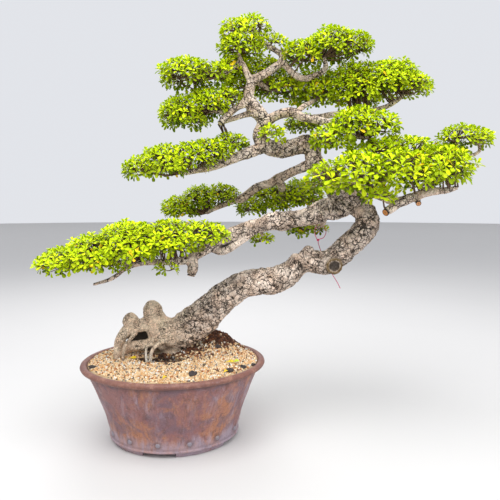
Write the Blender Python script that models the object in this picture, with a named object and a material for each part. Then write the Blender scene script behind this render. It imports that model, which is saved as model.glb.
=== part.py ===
"""Slanting black olive bonsai growing in an oval stoneware pot.

The numbers below are millimetres, measured from the middle of the pot's foot: +X to the right,
+Y to the back, +Z up. Meshes are built in metres. At the end every object is moved by the same
step, so that the origin lies under the middle of the whole tree.
"""

import math
import random

import bmesh
import bpy
import numpy as np
from mathutils import Matrix, Vector
from mathutils.bvhtree import BVHTree

MM = 0.001
SEED = 1207
# Faceted bodies that touch keep this much air between them.
CLEARANCE = 0.35

# The pot is an oval: every ring is this much shallower than it is long.
POT_OVAL = 0.845
POT_SECTORS = 24
POT_TURN = math.radians(4)
# Half length and height of each ring, from the foot up the outside, over the lip and down inside.
POT_OUTSIDE = (
    (124, 0), (125, 8), (129.5, 9), (131.3, 11.5), (130, 15), (131, 24), (139, 57),
    (152, 95), (167, 131), (171, 145), (181.5, 147.5), (185, 152), (181, 158), (174, 157.5), (171, 154),
)
POT_INSIDE = ((150, 88), (119, 22))
POT_UNDERSIDE = ((112, 10), (115, 0))
FLOOR_TOP = 22
DRAIN_RADIUS = 13
DRAIN_SIDES = 10
DRAIN_OFFSET = 62
# Cutters reach this far past what they cut.
CUT_PAST = 4
SCREEN_SIZE = (46, 40, 1.6)
SCREEN_SLOT = (34, 6, 4)
SCREEN_SLOT_PITCH = 11
SCREEN_SLOT_ABOVE_FLOOR = 1
FOOT_SLOT_HEIGHT = 8
FOOT_SLOT_FRONT = 64
FOOT_SLOT_SIDE = 82
FOOT_SLOT_LENGTH = 320
FOOT_TURN = math.radians(-8.5)
STUD_COUNT = 14
STUD_RADIUS = 4
STUD_SIDES = 5
STUD_SUNK = 3
STUD_RIM = 0.6
STUD_PROUD = 2.2
STUD_RING = (131.4, 26)
STUD_PHASE = 0.1

# The potting grit: flush with the lip at its edge, crowned to the middle, with a heap behind the trunk.
SOIL_EDGE_HEIGHT = 155
SOIL_CROWN = 19
SOIL_HEAP_AT = (84, 56)
SOIL_HEAP_SPREAD = (44, 38)
SOIL_HEAP_HEIGHT = 40
SOIL_HOLLOW_AT = (-16, -38)
SOIL_HOLLOW_SPREAD = (38, 17)
SOIL_HOLLOW_DEPTH = 12
SOIL_GRAIN = 1.1
SOIL_RINGS = (0.92, 0.74, 0.5, 0.24)
# Kept between the grit and the pot's wall beyond the usual clearance.
SOIL_SLACK = 0.1

# Bark swells and flutes: how much the radius changes round a limb and along it.
FLUTE = 0.06
KNOT = 0.045
FLUTE_WAVE = 70
KNOT_WAVE = 45

# Every limb is a route of stations: x, y, z and the radius there.
LIMBS = {
    # sides, ring spacing, stations
    "trunk_low": (10, 30, (
        (-36, 1, 186, 24), (-18, 0, 205, 33), (8, 0, 211, 33), (46, -4, 234, 33), (78, -5, 261, 31),
        (107, -5, 287, 28), (139, -5, 309, 26), (175, -5, 317, 26), (207, -4, 321, 28),
        (232, -3, 335, 26), (254, 0, 352, 21), (280, 0, 358, 23), (308, 0, 356, 25), (333, -5, 371, 24),
        (354, -10, 392, 23), (375, -12, 411, 23), (387, -14, 433, 22), (383, -10, 454, 21),
        (367, -5, 468, 20), (348, 0, 479, 20), (331, 10, 495, 20), (316, 15, 517, 19), (297, 22, 541, 18),
        (286, 30, 562, 17), (282, 34, 586, 17),
    )),
    "trunk_high": (6, 27, (
        (298, 37, 588, 11), (285, 36, 591, 16), (268, 34, 593, 18), (246, 28, 587, 16),
        (219, 20, 582, 17), (195, 10, 584, 15), (176, 1, 596, 13), (174, 0, 611, 12), (181, -2, 626, 12),
        (177, -5, 643, 13), (163, -5, 658, 13.5), (153, -5, 677, 10.5), (155, -4, 696, 9.5),
        (164, 0, 714, 9), (180, 3, 723, 8), (200, 6, 736, 8), (215, 9, 748, 7.3), (217, 8, 762, 6.3),
        (204, 6, 771, 5.8), (190, 5, 779, 5.4), (178, 3, 788, 4.5), (168, 2, 800, 4), (156, 0, 812, 3),
    )),
    "root_flare": (8, 40, ((8, 28, 118, 24), (2, 24, 160, 32), (4, 12, 196, 31))),
    "root_knob": (8, 22, ((-28, 0, 200, 25), (-36, -3, 235, 21), (-41, -5, 258, 18), (-43, -5, 273, 10))),
    "root_upper": (6, 28, (
        (-36, -5, 246, 16), (-61, -8, 229, 13), (-82, -10, 225, 13), (-96, -16, 213, 11),
        (-105, -21, 200, 9), (-109, -24, 184, 8), (-109, -27, 164, 7.5), (-112, -29, 142, 6),
    )),
    "root_lump": (6, 14, (
        (-68, -9, 222, 11), (-80, -9, 232, 15), (-86, -10, 241, 15.5), (-89, -10, 251, 9),
    )),
    "root_web": (5, 34, ((-22, 16, 205, 18), (-58, 12, 204, 16), (-94, 2, 193, 12))),
    "root_lower": (6, 30, (
        (-8, -8, 196, 16), (-46, -16, 191, 12), (-72, -20, 190, 10), (-90, -19, 187, 9.5),
        (-97, -14, 176, 9), (-98, -10, 148, 8),
    )),
    "root_right": (6, 40, ((18, 12, 198, 22), (50, 34, 182, 15), (78, 50, 158, 8))),
    "root_back": (6, 40, ((-18, 18, 196, 22), (-45, 50, 174, 14), (-62, 74, 150, 8))),
    "root_thin": (5, 24, (
        (-50, -22, 194, 4.5), (-49, -40, 184, 3.6), (-47, -48, 168, 3.2), (-45, -50, 150, 3),
    )),
    "root_thin_left": (5, 26, (
        (-72, -20, 217, 5.5), (-83, -32, 204, 4.5), (-92, -37, 189, 4), (-96, -39, 152, 3.4),
    )),
    "root_thin_right": (5, 28, (
        (-8, -22, 204, 7), (-26, -43, 199, 5), (-37, -50, 182, 4.4), (-38, -52, 152, 3.6),
    )),
    "low_left": (6, 28, (
        (357, -5, 468, 14), (329, -8, 464, 20), (303, -10, 460, 21), (277, -12, 448, 18),
        (249, -15, 443, 15.5), (222, -18, 439, 17.5), (198, -20, 439, 16.5), (175, -24, 431, 14.5),
        (151, -28, 425, 14.5), (132, -32, 420, 12.5), (113, -36, 412, 12.5), (95, -40, 403, 11.5),
        (82, -42, 391, 11.5), (69, -44, 384, 9.6), (53, -46, 376, 10.5), (44, -48, 369, 9.6),
        (27, -50, 364, 9), (3, -54, 362, 7), (-34, -60, 362, 5.7), (-62, -62, 358, 5.3),
        (-82, -64, 350, 4.8), (-96, -66, 338, 4.2), (-112, -68, 329, 3.8), (-140, -70, 321, 2.8),
    )),
    "low_left_tip": (5, 40, (
        (-40, -60, 362, 4.6), (-80, -58, 362, 4.2), (-120, -60, 356, 3.6), (-165, -62, 350, 3),
    )),
    "low_strand": (5, 26, (
        (162, -26, 418, 7), (137, -34, 400, 6.8), (117, -38, 386, 6.8), (99, -42, 380, 6.7),
        (78, -42, 388, 6),
    )),
    "low_web": (5, 32, ((166, -18, 424, 8), (137, -24, 407, 10), (105, -30, 396, 10), (82, -38, 390, 6))),
    "low_stub": (6, 20, ((45, -48, 367, 9.5), (46, -50, 350, 10.5), (42, -50, 337, 8.4))),
    "bump_low": (5, 20, ((240, -6, 350, 12), (244, -15, 364, 10.5), (246, -18, 372, 6))),
    "bump_high": (5, 20, ((264, 0, 362, 15), (270, -9, 376, 13), (273, -12, 387, 7))),
    "mid_left": (5, 28, (
        (288, 30, 556, 13), (262, 38, 546, 10.3), (238, 46, 536, 9.3), (218, 54, 526, 10.4),
        (197, 62, 516, 8.4), (172, 70, 508, 8.5), (151, 78, 494, 8.6), (138, 82, 484, 9),
        (120, 88, 480, 6.5), (101, 94, 472, 6), (78, 100, 463, 5.5), (58, 106, 452, 4.5),
    )),
    "mid_inner": (6, 30, ((216, 50, 524, 8.3), (224, 82, 500, 8), (216, 108, 478, 7), (190, 122, 466, 5.5))),
    "left": (5, 28, (
        (182, 2, 584, 11), (159, -4, 574, 11.5), (135, -8, 565, 9.8), (116, -11, 557, 8.8),
        (96, -14, 549, 7.8), (73, -18, 541, 6.8), (50, -22, 536, 5.5), (20, -28, 530, 4.5),
    )),
    "cut_limb": (6, 30, (
        (156, -5, 676, 9), (145, -5, 668, 8.5), (128, -8, 658, 7), (112, -10, 644, 7),
        (99, -12, 630, 6.6),
    )),
    "cut_limb_twig": (5, 30, ((116, -10, 648, 4.5), (98, -8, 650, 4), (76, -4, 652, 3.2))),
    "upper_left_low": (5, 30, ((158, 0, 650, 7), (140, 2, 645, 5.5), (117, 6, 638, 5), (92, 10, 630, 4))),
    "upper_left_high": (5, 26, (
        (158, -4, 704, 7), (147, -8, 728, 5.8), (138, -10, 742, 5.4), (118, -12, 730, 5),
        (98, -14, 717, 4.5),
    )),
    "apex_left": (5, 26, ((142, -9, 738, 5), (134, -10, 754, 4.4), (132, -8, 772, 3.5))),
    "upper_right": (5, 26, (
        (217, 9, 752, 6.5), (235, 8, 731, 6.3), (251, 8, 720, 6), (264, 8, 717, 6), (280, 10, 723, 5.5),
        (297, 12, 731, 5.5), (304, 12, 742, 5), (300, 12, 760, 4),
    )),
    "upper_middle_twig": (5, 30, ((166, 4, 712, 6), (184, 26, 706, 4.8), (196, 44, 704, 3.8))),
    "mid_right": (5, 28, (
        (178, -2, 618, 10), (190, -6, 633, 9.8), (202, -8, 641, 8.8), (219, -12, 647, 9.3),
        (238, -16, 648, 8.7), (253, -20, 639, 7.7), (268, -24, 635, 7.3), (289, -28, 630, 7.2),
        (307, -34, 624, 6.3), (326, -42, 614, 5.5), (350, -50, 598, 4.8), (376, -56, 594, 3.8),
    )),
    "mid_right_twig": (5, 30, (
        (247, -17, 650, 5.4), (261, -10, 662, 5), (275, 14, 672, 4.6), (285, 44, 682, 4),
        (290, 66, 694, 3.4),
    )),
    "back_right": (5, 32, (
        (268, -20, 636, 6), (280, 12, 642, 6.5), (301, 34, 648, 6.5), (328, 40, 654, 6.1),
        (353, 40, 656, 5.7), (379, 38, 658, 5.3), (402, 34, 661, 5.1), (431, 30, 668, 4.8),
        (452, 26, 680, 4.2), (464, 24, 692, 3.6),
    )),
    "right": (6, 28, (
        (322, 12, 502, 17), (338, -4, 501, 15.5), (354, -22, 502, 13.6), (378, -50, 499, 11.3),
        (402, -75, 486, 10.1), (425, -85, 475, 9.1), (445, -90, 482, 8.5), (464, -95, 489, 7.6),
        (484, -95, 494, 7.2), (507, -95, 496, 6), (528, -96, 501, 4),
    )),
    "right_stub": (6, 20, ((426, -85, 474, 8), (412, -95, 465, 7.6), (399, -101, 458, 7.2))),
    "right_stub_small": (6, 20, ((456, -92, 482, 5.5), (455, -104, 474, 5.2))),
    "right_tip": (5, 30, (
        (462, -93, 491, 5.4), (490, -66, 508, 4.8), (516, -48, 528, 4.4), (548, -42, 556, 4.1),
        (572, -40, 562, 3.7), (590, -40, 572, 3.4), (586, -40, 588, 3),
    )),
    "right_tip_twig": (5, 20, ((538, -44, 549, 4), (545, -44, 570, 3.4), (548, -44, 594, 2.8))),
    "right_back": (5, 34, (
        (402, -72, 488, 6.5), (412, -24, 516, 5.8), (436, 0, 544, 5.2), (464, 10, 562, 4.4),
        (504, 14, 566, 3.4),
    )),
    "right_front_twig": (5, 34, (
        (390, -62, 494, 6), (374, -90, 502, 5), (350, -110, 510, 4), (312, -104, 512, 3.2),
    )),
    "back_right_twig": (5, 30, ((284, 16, 643, 5.5), (272, 34, 640, 4.4), (262, 48, 636, 3.2))),
    "loop_twig": (5, 20, ((303, -6, 446, 5), (303, 6, 432, 4.2), (292, 14, 424, 3.6), (276, 18, 420, 3))),
    "under_twig": (5, 20, ((172, -22, 428, 5), (178, -10, 414, 3.6), (180, 0, 406, 3))),
    "front_twig": (5, 20, ((180, -2, 614, 5), (192, -16, 608, 3.8), (202, -26, 604, 3))),
}
WOUND_AT = (320, -18, 352)
WOUND_FACING = (0.1, -1, -0.18)
WOUND_PROFILE = ((16, -14), (17, 6), (13, 10), (9, 6))
WOUND_SIDES = 10

# The thin string tied round the twig below the lowest limb, with its loose end.
STRING_RADIUS = 0.7
STRING_SIDES = 6
STRING_SPACING = 6
KNOT_RADIUS = 2.6
KNOT_SHOULDER = 1.8
KNOT_SIDES = 6
# Leaf whorls keep their middles this far from the string.
STRING_ROOM = 14
# It hangs over the twig at its fourth point.
STRING_LOOP = (
    (291, -1, 400), (285, 0, 413), (287, 4, 426), (295.3, 11.6, 432.9), (304, 15, 428), (309, 11, 417),
    (303, 3, 405), (291, -1, 400),
)
STRING_TAIL = (
    (291, -1, 400), (296, 14, 386), (303, 26, 370), (312, 29, 350), (322, 26, 332), (333, 18, 314),
    (340, 14, 300),
)

# Each pad of leaves: the reach of its whorls and the lobes of its dense heart.
# A lobe is its middle x, y, z and its half length, half depth and half height.
PADS = {
    "foliage_lower_left": (27, (
        (-192, -64, 358, 41, 44, 25), (-130, -66, 370, 50, 60, 36), (-64, -68, 391, 51, 66, 38),
        (4, -68, 399, 51, 58, 32), (64, -66, 413, 42, 42, 20),
    )),
    "foliage_right": (28, (
        (300, -98, 512, 36, 40, 26), (346, -114, 515, 46, 46, 36), (418, -106, 524, 54, 44, 32),
        (490, -82, 533, 52, 50, 34), (390, -52, 556, 48, 48, 23), (456, -20, 569, 55, 52, 23),
        (526, 10, 562, 48, 50, 20),
    )),
    "foliage_right_tip": (20, ((548, -44, 595, 30, 32, 17), (580, -40, 592, 24, 28, 17))),
    "foliage_mid_right": (24, (
        (310, -66, 590, 32, 32, 20), (350, -62, 611, 38, 44, 28), (392, -60, 614, 32, 36, 19),
    )),
    "foliage_crown_back": (27, (
        (136, 54, 710, 32, 30, 17), (130, 50, 740, 32, 32, 21), (178, 60, 742, 41, 38, 24),
        (210, 70, 712, 53, 42, 30), (300, 80, 706, 61, 50, 36), (374, 50, 704, 53, 54, 43),
        (434, 34, 713, 49, 56, 37), (474, 28, 704, 35, 44, 22),
    )),
    "foliage_upper_right": (24, (
        (266, 12, 762, 38, 38, 23), (314, 12, 773, 44, 48, 29), (353, 14, 779, 33, 36, 21),
    )),
    "foliage_apex": (22, ((160, 0, 811, 25, 28, 16), (138, 0, 798, 33, 34, 21), (140, -2, 773, 36, 34, 20))),
    "foliage_apex_small": (16, ((202, 6, 785, 17, 18, 10),)),
    "foliage_upper_left": (24, ((34, -16, 714, 39, 42, 26), (79, -12, 717, 33, 32, 16))),
    "foliage_second_left": (24, (
        (28, 2, 643, 38, 46, 30), (68, 6, 662, 38, 48, 26), (104, 8, 677, 29, 34, 15),
    )),
    "foliage_left": (25, (
        (-42, -40, 536, 34, 36, 21), (-4, -34, 545, 40, 48, 31), (38, -26, 555, 38, 46, 26),
        (80, -8, 571, 35, 38, 20), (117, 12, 589, 29, 30, 15),
    )),
    "foliage_front": (17, ((198, -34, 603, 17, 18, 11),)),
    "foliage_inner": (19, ((262, 50, 634, 29, 28, 16),)),
    "foliage_mid_left": (22, (
        (6, 108, 459, 34, 36, 21), (48, 106, 478, 38, 46, 26), (93, 104, 487, 33, 40, 21),
    )),
    "foliage_mid_inner": (22, (
        (164, 126, 462, 33, 36, 20), (207, 124, 479, 43, 44, 32), (263, 116, 486, 43, 40, 30),
    )),
    "foliage_loop": (16, ((260, 22, 418, 24, 24, 13), (291, 34, 420, 18, 15, 9))),
    "foliage_under": (15, ((180, 8, 401, 17, 16, 8),)),
}
# A lobe's corners lie at its half sizes, a little unevenly, and its underside is flatter than its top.
LOBE_UNDERSIDE = 0.8
LOBE_UNEVEN = 0.06
LEAVES_IN_WHORL = 5
# A blunt leaf: where its neck and its two shoulders lie, as a share of the whorl's reach.
LEAF_NECK = 0.27
LEAF_SHOULDER = 0.95
LEAF_HALF_ANGLE = math.radians(19)
LEAF_CUP = 0.42
LEAF_THICKNESS = 2.2
WHORL_CROWN = 0.3
STEM_RADIUS = 1.5
STEM_STAND = 9
STEM_SUNK = 6
# How far apart the whorls stand, as a share of their reach.
WHORL_SPACING = 1.96
WHORL_UPWARD = 0.25
WHORL_LEAN = 0.15
WHORL_TRIES_PER_LOBE = 170
WHORL_UNDERSIDE = -0.55
# Whorls of different pads stay this far apart, and lobes further off than this aren't looked at.
WHORL_GAP = 1
NEIGHBOUR_REACH = 400
# Whorls keep their middles clear of the wood, which is tested at points this far apart.
WOOD_ROOM = 5
WOOD_STEP = 8
CHANNEL_SIDES = 4


def clear_scene():
    for found in list(bpy.data.objects):
        bpy.data.objects.remove(found)


def material(name, colour, roughness, metallic=0.0):
    made = bpy.data.materials.new(name)
    made.use_nodes = True
    shader = made.node_tree.nodes["Principled BSDF"]
    shader.inputs["Base Color"].default_value = (*colour, 1.0)
    shader.inputs["Roughness"].default_value = roughness
    shader.inputs["Metallic"].default_value = metallic
    return made


def placed(name, shape, finish=None, collection=None):
    """A mesh object from a shape, which is its points in millimetres and its faces."""
    points, faces = shape
    mesh = bpy.data.meshes.new(name)
    mesh.from_pydata([tuple(point) for point in np.asarray(points, float) * MM], [], faces)
    mesh.update()
    if finish:
        mesh.materials.append(finish)
    made = bpy.data.objects.new(name, mesh)
    (collection or bpy.context.scene.collection).objects.link(made)
    return made


def combine(body, shapes, operation):
    """Joins shapes to the body, or cuts them from it, with one Boolean that is applied at once."""
    tools = bpy.data.collections.new(body.name + "_tools")
    bpy.context.scene.collection.children.link(tools)
    for number, shape in enumerate(shapes):
        placed(f"{body.name}_tool_{number}", shape, collection=tools).hide_render = True
    modifier = body.modifiers.new(operation.title(), "BOOLEAN")
    modifier.operation = operation
    modifier.operand_type = "COLLECTION"
    modifier.collection = tools
    modifier.solver = "MANIFOLD"
    graph = bpy.context.evaluated_depsgraph_get()
    result = bpy.data.meshes.new_from_object(body.evaluated_get(graph))
    body.modifiers.clear()
    body.data = result
    for tool in list(tools.objects):
        bpy.data.objects.remove(tool)
    bpy.data.collections.remove(tools)


def keep_largest(body):
    """Drops the loose scraps that a cut leaves, and keeps the body with the most faces."""
    shape = bmesh.new()
    shape.from_mesh(body.data)
    unseen = set(shape.verts)
    groups = []
    while unseen:
        front = [unseen.pop()]
        group = set(front)
        while front:
            for edge in front.pop().link_edges:
                for vertex in edge.verts:
                    if vertex in unseen:
                        unseen.discard(vertex)
                        group.add(vertex)
                        front.append(vertex)
        groups.append(group)
    largest = max(groups, key=len)
    scraps = [vertex for vertex in shape.verts if vertex not in largest]
    bmesh.ops.delete(shape, geom=scraps, context="VERTS")
    shape.to_mesh(body.data)
    shape.free()


def solid(name, finish, shapes, cutters=()):
    """One closed body: the shapes joined, the cutters taken away and the scraps dropped."""
    body = placed(name, shapes[0], finish)
    for operation, tools in (("UNION", shapes[1:]), ("DIFFERENCE", cutters)):
        if tools:
            combine(body, tools, operation)
    keep_largest(body)
    return body


def unit(vector):
    vector = np.asarray(vector, float)
    return vector / np.linalg.norm(vector)


def smooth_route(stations, spacing):
    """Points about one spacing apart on the Catmull-Rom curve through the stations."""
    stations = np.asarray(stations, float)
    padded = np.vstack([2 * stations[0] - stations[1], stations, 2 * stations[-1] - stations[-2]])
    spans = []
    for before, start, end, after in zip(padded, padded[1:], padded[2:], padded[3:]):
        steps = max(1, round(float(np.linalg.norm(end[:3] - start[:3])) / spacing))
        t = np.arange(steps)[:, None] / steps
        spans.append(0.5 * (
            2 * start
            + (end - before) * t
            + (2 * before - 5 * start + 4 * end - after) * t**2
            + (3 * start - before - 3 * end + after) * t**3
        ))
    return np.vstack([*spans, stations[-1:]])


def tube(past_ends, centres, sides, radii_at):
    """Rings carried along the centres without twist, closed by a flat face a little past each end."""
    along = np.gradient(centres, axis=0)
    along /= np.linalg.norm(along, axis=1)[:, None]
    centres = centres.copy()
    centres[0] -= past_ends * along[0]
    centres[-1] += past_ends * along[-1]
    across = np.cross(along[0], (0.0, 1.0, 0.0) if abs(along[0][1]) < 0.9 else (1.0, 0.0, 0.0))
    turn = 2 * math.pi * np.arange(sides) / sides
    points = []
    for index, (centre, direction) in enumerate(zip(centres, along)):
        across = unit(across - np.dot(across, direction) * direction)
        upright = np.cross(direction, across)
        radius = radii_at(index, turn)[:, None]
        points.append(centre + radius * (np.cos(turn)[:, None] * across + np.sin(turn)[:, None] * upright))
    faces = [tuple(reversed(range(sides)))]
    for ring in range(len(centres) - 1):
        low = ring * sides
        for side in range(sides):
            following = (side + 1) % sides
            # Always split the same way, so that a hole fits the limb that it is made for.
            faces.append((low + side, low + following, low + sides + following))
            faces.append((low + side, low + sides + following, low + sides + side))
    last = (len(centres) - 1) * sides
    faces.append(tuple(range(last, last + sides)))
    return np.vstack(points), faces


def limb(name, grow=0.0):
    """One limb of the tree, or with grow the hole that it needs in its neighbours."""
    sides, spacing, stations = LIMBS[name]
    route = smooth_route(stations, spacing)
    length = np.concatenate([[0.0], np.cumsum(np.linalg.norm(np.diff(route[:, :3], axis=0), axis=1))])

    def radii_at(index, turn):
        swell = FLUTE * np.sin(2 * turn + length[index] / FLUTE_WAVE)
        knots = KNOT * np.sin(3 * turn - length[index] / KNOT_WAVE)
        return route[index, 3] * (1 + swell + knots) + grow

    return tube(grow, route[:, :3], sides, radii_at)


def channel(name):
    """A plain square channel that a limb runs through in a pad: four faces for each ring of the limb."""
    _, spacing, stations = LIMBS[name]
    route = smooth_route(stations, spacing)
    widest = (route[:, 3] * (1 + FLUTE + KNOT) + CLEARANCE) / math.cos(math.pi / CHANNEL_SIDES)

    def radii_at(index, turn):
        return np.full(len(turn), widest[index])

    return tube(CLEARANCE, route[:, :3], CHANNEL_SIDES, radii_at)


def lathe(profile, sides, oval=1.0, turn=0.0, poles=()):
    """Rings of half length and height, one after the other round a closed section, with an oval plan."""
    angles = 2 * math.pi * np.arange(sides) / sides
    outline = np.stack([np.cos(angles), oval * np.sin(angles)], axis=1)
    cosine, sine = math.cos(turn), math.sin(turn)
    outline = outline @ np.array([[cosine, sine], [-sine, cosine]])
    points = [np.column_stack([outline * reach, np.full(sides, height)]) for reach, height in profile]
    faces = []
    for ring in range(len(profile) - 1):
        low = ring * sides
        for side in range(sides):
            following = (side + 1) % sides
            faces.append((low + side, low + following, low + sides + following, low + sides + side))
    first_height, last_height = poles
    points.append(np.array([[0, 0, first_height], [0, 0, last_height]]))
    start, end = len(profile) * sides, len(profile) * sides + 1
    last = (len(profile) - 1) * sides
    for side in range(sides):
        following = (side + 1) % sides
        faces.append((start, following, side))
        faces.append((end, last + side, last + following))
    return np.vstack(points), faces


def box(size, centre=(0, 0, 0), turn=0.0):
    corners = np.array([(x, y, z) for x in (-0.5, 0.5) for y in (-0.5, 0.5) for z in (-0.5, 0.5)]) * size
    cosine, sine = math.cos(turn), math.sin(turn)
    corners[:, :2] = corners[:, :2] @ np.array([[cosine, sine], [-sine, cosine]])
    faces = [(0, 1, 3, 2), (4, 6, 7, 5), (0, 4, 5, 1), (2, 3, 7, 6), (0, 2, 6, 4), (1, 5, 7, 3)]
    return corners + np.asarray(centre, float), faces


def aimed(shape, centre, facing, turn=0.0):
    """A shape built about +Z at the origin, turned to face a direction and put in its place."""
    points, faces = shape
    aim = Vector(facing).to_track_quat("Z", "Y").to_matrix() @ Matrix.Rotation(turn, 3, "Z")
    return np.asarray(points, float) @ np.array(aim).T + np.asarray(centre, float), faces


def pot_shape():
    rings = (*POT_UNDERSIDE, *POT_OUTSIDE, *POT_INSIDE)
    return lathe(rings, POT_SECTORS, POT_OVAL, POT_TURN, (POT_UNDERSIDE[0][1], FLOOR_TOP))


def on_oval(reach, angle, height):
    """A point of the pot's wall and the direction in which the wall faces there."""
    x, y = reach * math.cos(angle), reach * POT_OVAL * math.sin(angle)
    outward = (math.cos(angle), math.sin(angle) / POT_OVAL, 0.0)
    spin = Matrix.Rotation(POT_TURN, 3, "Z")
    return tuple(spin @ Vector((x, y, height))), tuple(spin @ Vector(outward))


def studs():
    """Nail-head studs in a ring above the foot band."""
    reach, height = STUD_RING
    rings = ((STUD_RADIUS, -STUD_SUNK), (STUD_RADIUS, STUD_RIM))
    head = lathe(rings, STUD_SIDES, poles=(-STUD_SUNK, STUD_PROUD))
    placed_heads = []
    for number in range(STUD_COUNT):
        at, facing = on_oval(reach, 2 * math.pi * (number + STUD_PHASE) / STUD_COUNT, height)
        placed_heads.append(aimed(head, at, facing))
    return placed_heads


def drains():
    """The two drain holes, which stop clear of the pot's feet."""
    top = FLOOR_TOP + CUT_PAST
    hole = lathe(((DRAIN_RADIUS, CUT_PAST), (DRAIN_RADIUS, top)), DRAIN_SIDES, poles=(CUT_PAST, top))
    return [aimed(hole, (side * DRAIN_OFFSET, 0, 0), (0, 0, 1)) for side in (-1, 1)]


def foot_slots():
    """Two crossing slots that part the foot ring into four feet."""
    middle = (0, 0, (FOOT_SLOT_HEIGHT - CUT_PAST) / 2)
    height = FOOT_SLOT_HEIGHT + CUT_PAST
    lengthwise = box((FOOT_SLOT_LENGTH, FOOT_SLOT_SIDE, height), middle, FOOT_TURN)
    crosswise = box((FOOT_SLOT_FRONT, FOOT_SLOT_LENGTH, height), middle, FOOT_TURN)
    return [lengthwise, crosswise]


def make_pot(finish):
    return solid("pot", finish, [pot_shape(), *studs()], [*drains(), *foot_slots()])


def screen_shape(side, grow=0.0):
    size = np.array(SCREEN_SIZE) + 2 * grow
    return box(size, (side * DRAIN_OFFSET, 0, FLOOR_TOP + CLEARANCE + SCREEN_SIZE[2] / 2))


def make_screens(finish):
    """The plastic mesh squares that keep the grit from the drain holes."""
    height = FLOOR_TOP + SCREEN_SLOT_ABOVE_FLOOR
    for name, side in (("drain_screen_left", -1), ("drain_screen_right", 1)):
        slots = [
            box(SCREEN_SLOT, (side * DRAIN_OFFSET, row * SCREEN_SLOT_PITCH, height))
            for row in (-1, 0, 1)
        ]
        solid(name, finish, [screen_shape(side)], slots)


def soil_height(x, y, share):
    """Height of the grit: a crown, a heap behind the trunk, a hollow before it and small uneven waves."""
    crown = SOIL_EDGE_HEIGHT + SOIL_CROWN * (1 - share**2)

    def hill(at, spread):
        return np.exp(-0.5 * (((x - at[0]) / spread[0]) ** 2 + ((y - at[1]) / spread[1]) ** 2))

    heap = SOIL_HEAP_HEIGHT * hill(SOIL_HEAP_AT, SOIL_HEAP_SPREAD)
    hollow = SOIL_HOLLOW_DEPTH * hill(SOIL_HOLLOW_AT, SOIL_HOLLOW_SPREAD)
    waves = SOIL_GRAIN * (np.sin(x / 7 + y / 11) + np.sin(y / 6 - x / 13))
    return crown + (heap - hollow + waves) * (1 - share**4)


def soil_shape():
    """The grit fills the pot: the pot's inner rings, pulled in by the clearance, under a heaped top."""
    inset = CLEARANCE / POT_OVAL + SOIL_SLACK
    wall = [(reach - inset, height) for reach, height in reversed(POT_INSIDE)]
    wall[0] = (wall[0][0], FLOOR_TOP + CLEARANCE)
    rim = POT_OUTSIDE[-1][0] - inset
    rings = [*wall, (rim, SOIL_EDGE_HEIGHT)]
    rings += [(rim * share, SOIL_EDGE_HEIGHT) for share in SOIL_RINGS]
    points, faces = lathe(rings, POT_SECTORS, POT_OVAL, POT_TURN, (FLOOR_TOP + CLEARANCE, SOIL_EDGE_HEIGHT))
    shares = [1.0] * (len(wall) + 1) + list(SOIL_RINGS)
    share = np.concatenate([np.repeat(shares, POT_SECTORS), [1.0, 0.0]])
    top = share < 1
    points[top, 2] = soil_height(points[top, 0], points[top, 1], share[top])
    return points, faces


def make_soil(finish):
    holes = [limb(name, CLEARANCE) for name in LIMBS if name.startswith(("root", "trunk_low"))]
    pockets = [screen_shape(side, CLEARANCE) for side in (-1, 1)]
    solid("soil", finish, [soil_shape()], [*holes, *pockets])


def wound_shape():
    """The rolled ring of bark round the old pruning wound, with its sunk middle."""
    ring = lathe(WOUND_PROFILE, WOUND_SIDES, poles=(WOUND_PROFILE[0][1], WOUND_PROFILE[-1][1]))
    return aimed(ring, WOUND_AT, WOUND_FACING)


def make_tree(finish):
    shapes = [limb(name) for name in LIMBS]
    return solid("trunk_and_branches", finish, [*shapes, wound_shape()])


def make_string(finish):
    """The tied string: the loop, the knot and the loose tail, joined in one body."""
    def strand(route):
        centres = smooth_route([(*point, STRING_RADIUS) for point in route], STRING_SPACING)[:, :3]
        return tube(0.0, centres, STRING_SIDES, lambda index, turn: np.full(len(turn), STRING_RADIUS))

    bead = ((KNOT_SHOULDER, -KNOT_SHOULDER), (KNOT_RADIUS, 0), (KNOT_SHOULDER, KNOT_SHOULDER))
    knot = aimed(lathe(bead, KNOT_SIDES, poles=(-KNOT_RADIUS, KNOT_RADIUS)), STRING_LOOP[0], (0, 0, 1))
    solid("tie_string", finish, [knot, strand(STRING_LOOP), strand(STRING_TAIL)])


def lobe_shape(lobe, chance):
    """A faceted dome with a flatter underside: the dense heart that the whorls stand out of."""
    ball = bmesh.new()
    bmesh.ops.create_icosphere(ball, subdivisions=1, radius=1.0)
    points = np.array([tuple(corner.co) for corner in ball.verts])
    faces = [tuple(corner.index for corner in face.verts) for face in ball.faces]
    ball.free()
    spin = Matrix.Rotation(chance.uniform(0, 2 * math.pi), 3, "Z")
    spin = spin @ Matrix.Rotation(chance.uniform(0, 1), 3, "X")
    uneven = np.array([1 + chance.uniform(-LOBE_UNEVEN, LOBE_UNEVEN) for _ in points])
    points = points @ np.array(spin).T * uneven[:, None]
    points[points[:, 2] < 0, 2] *= LOBE_UNDERSIDE
    return points * lobe[3:] + np.array(lobe[:3], float), faces


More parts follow.
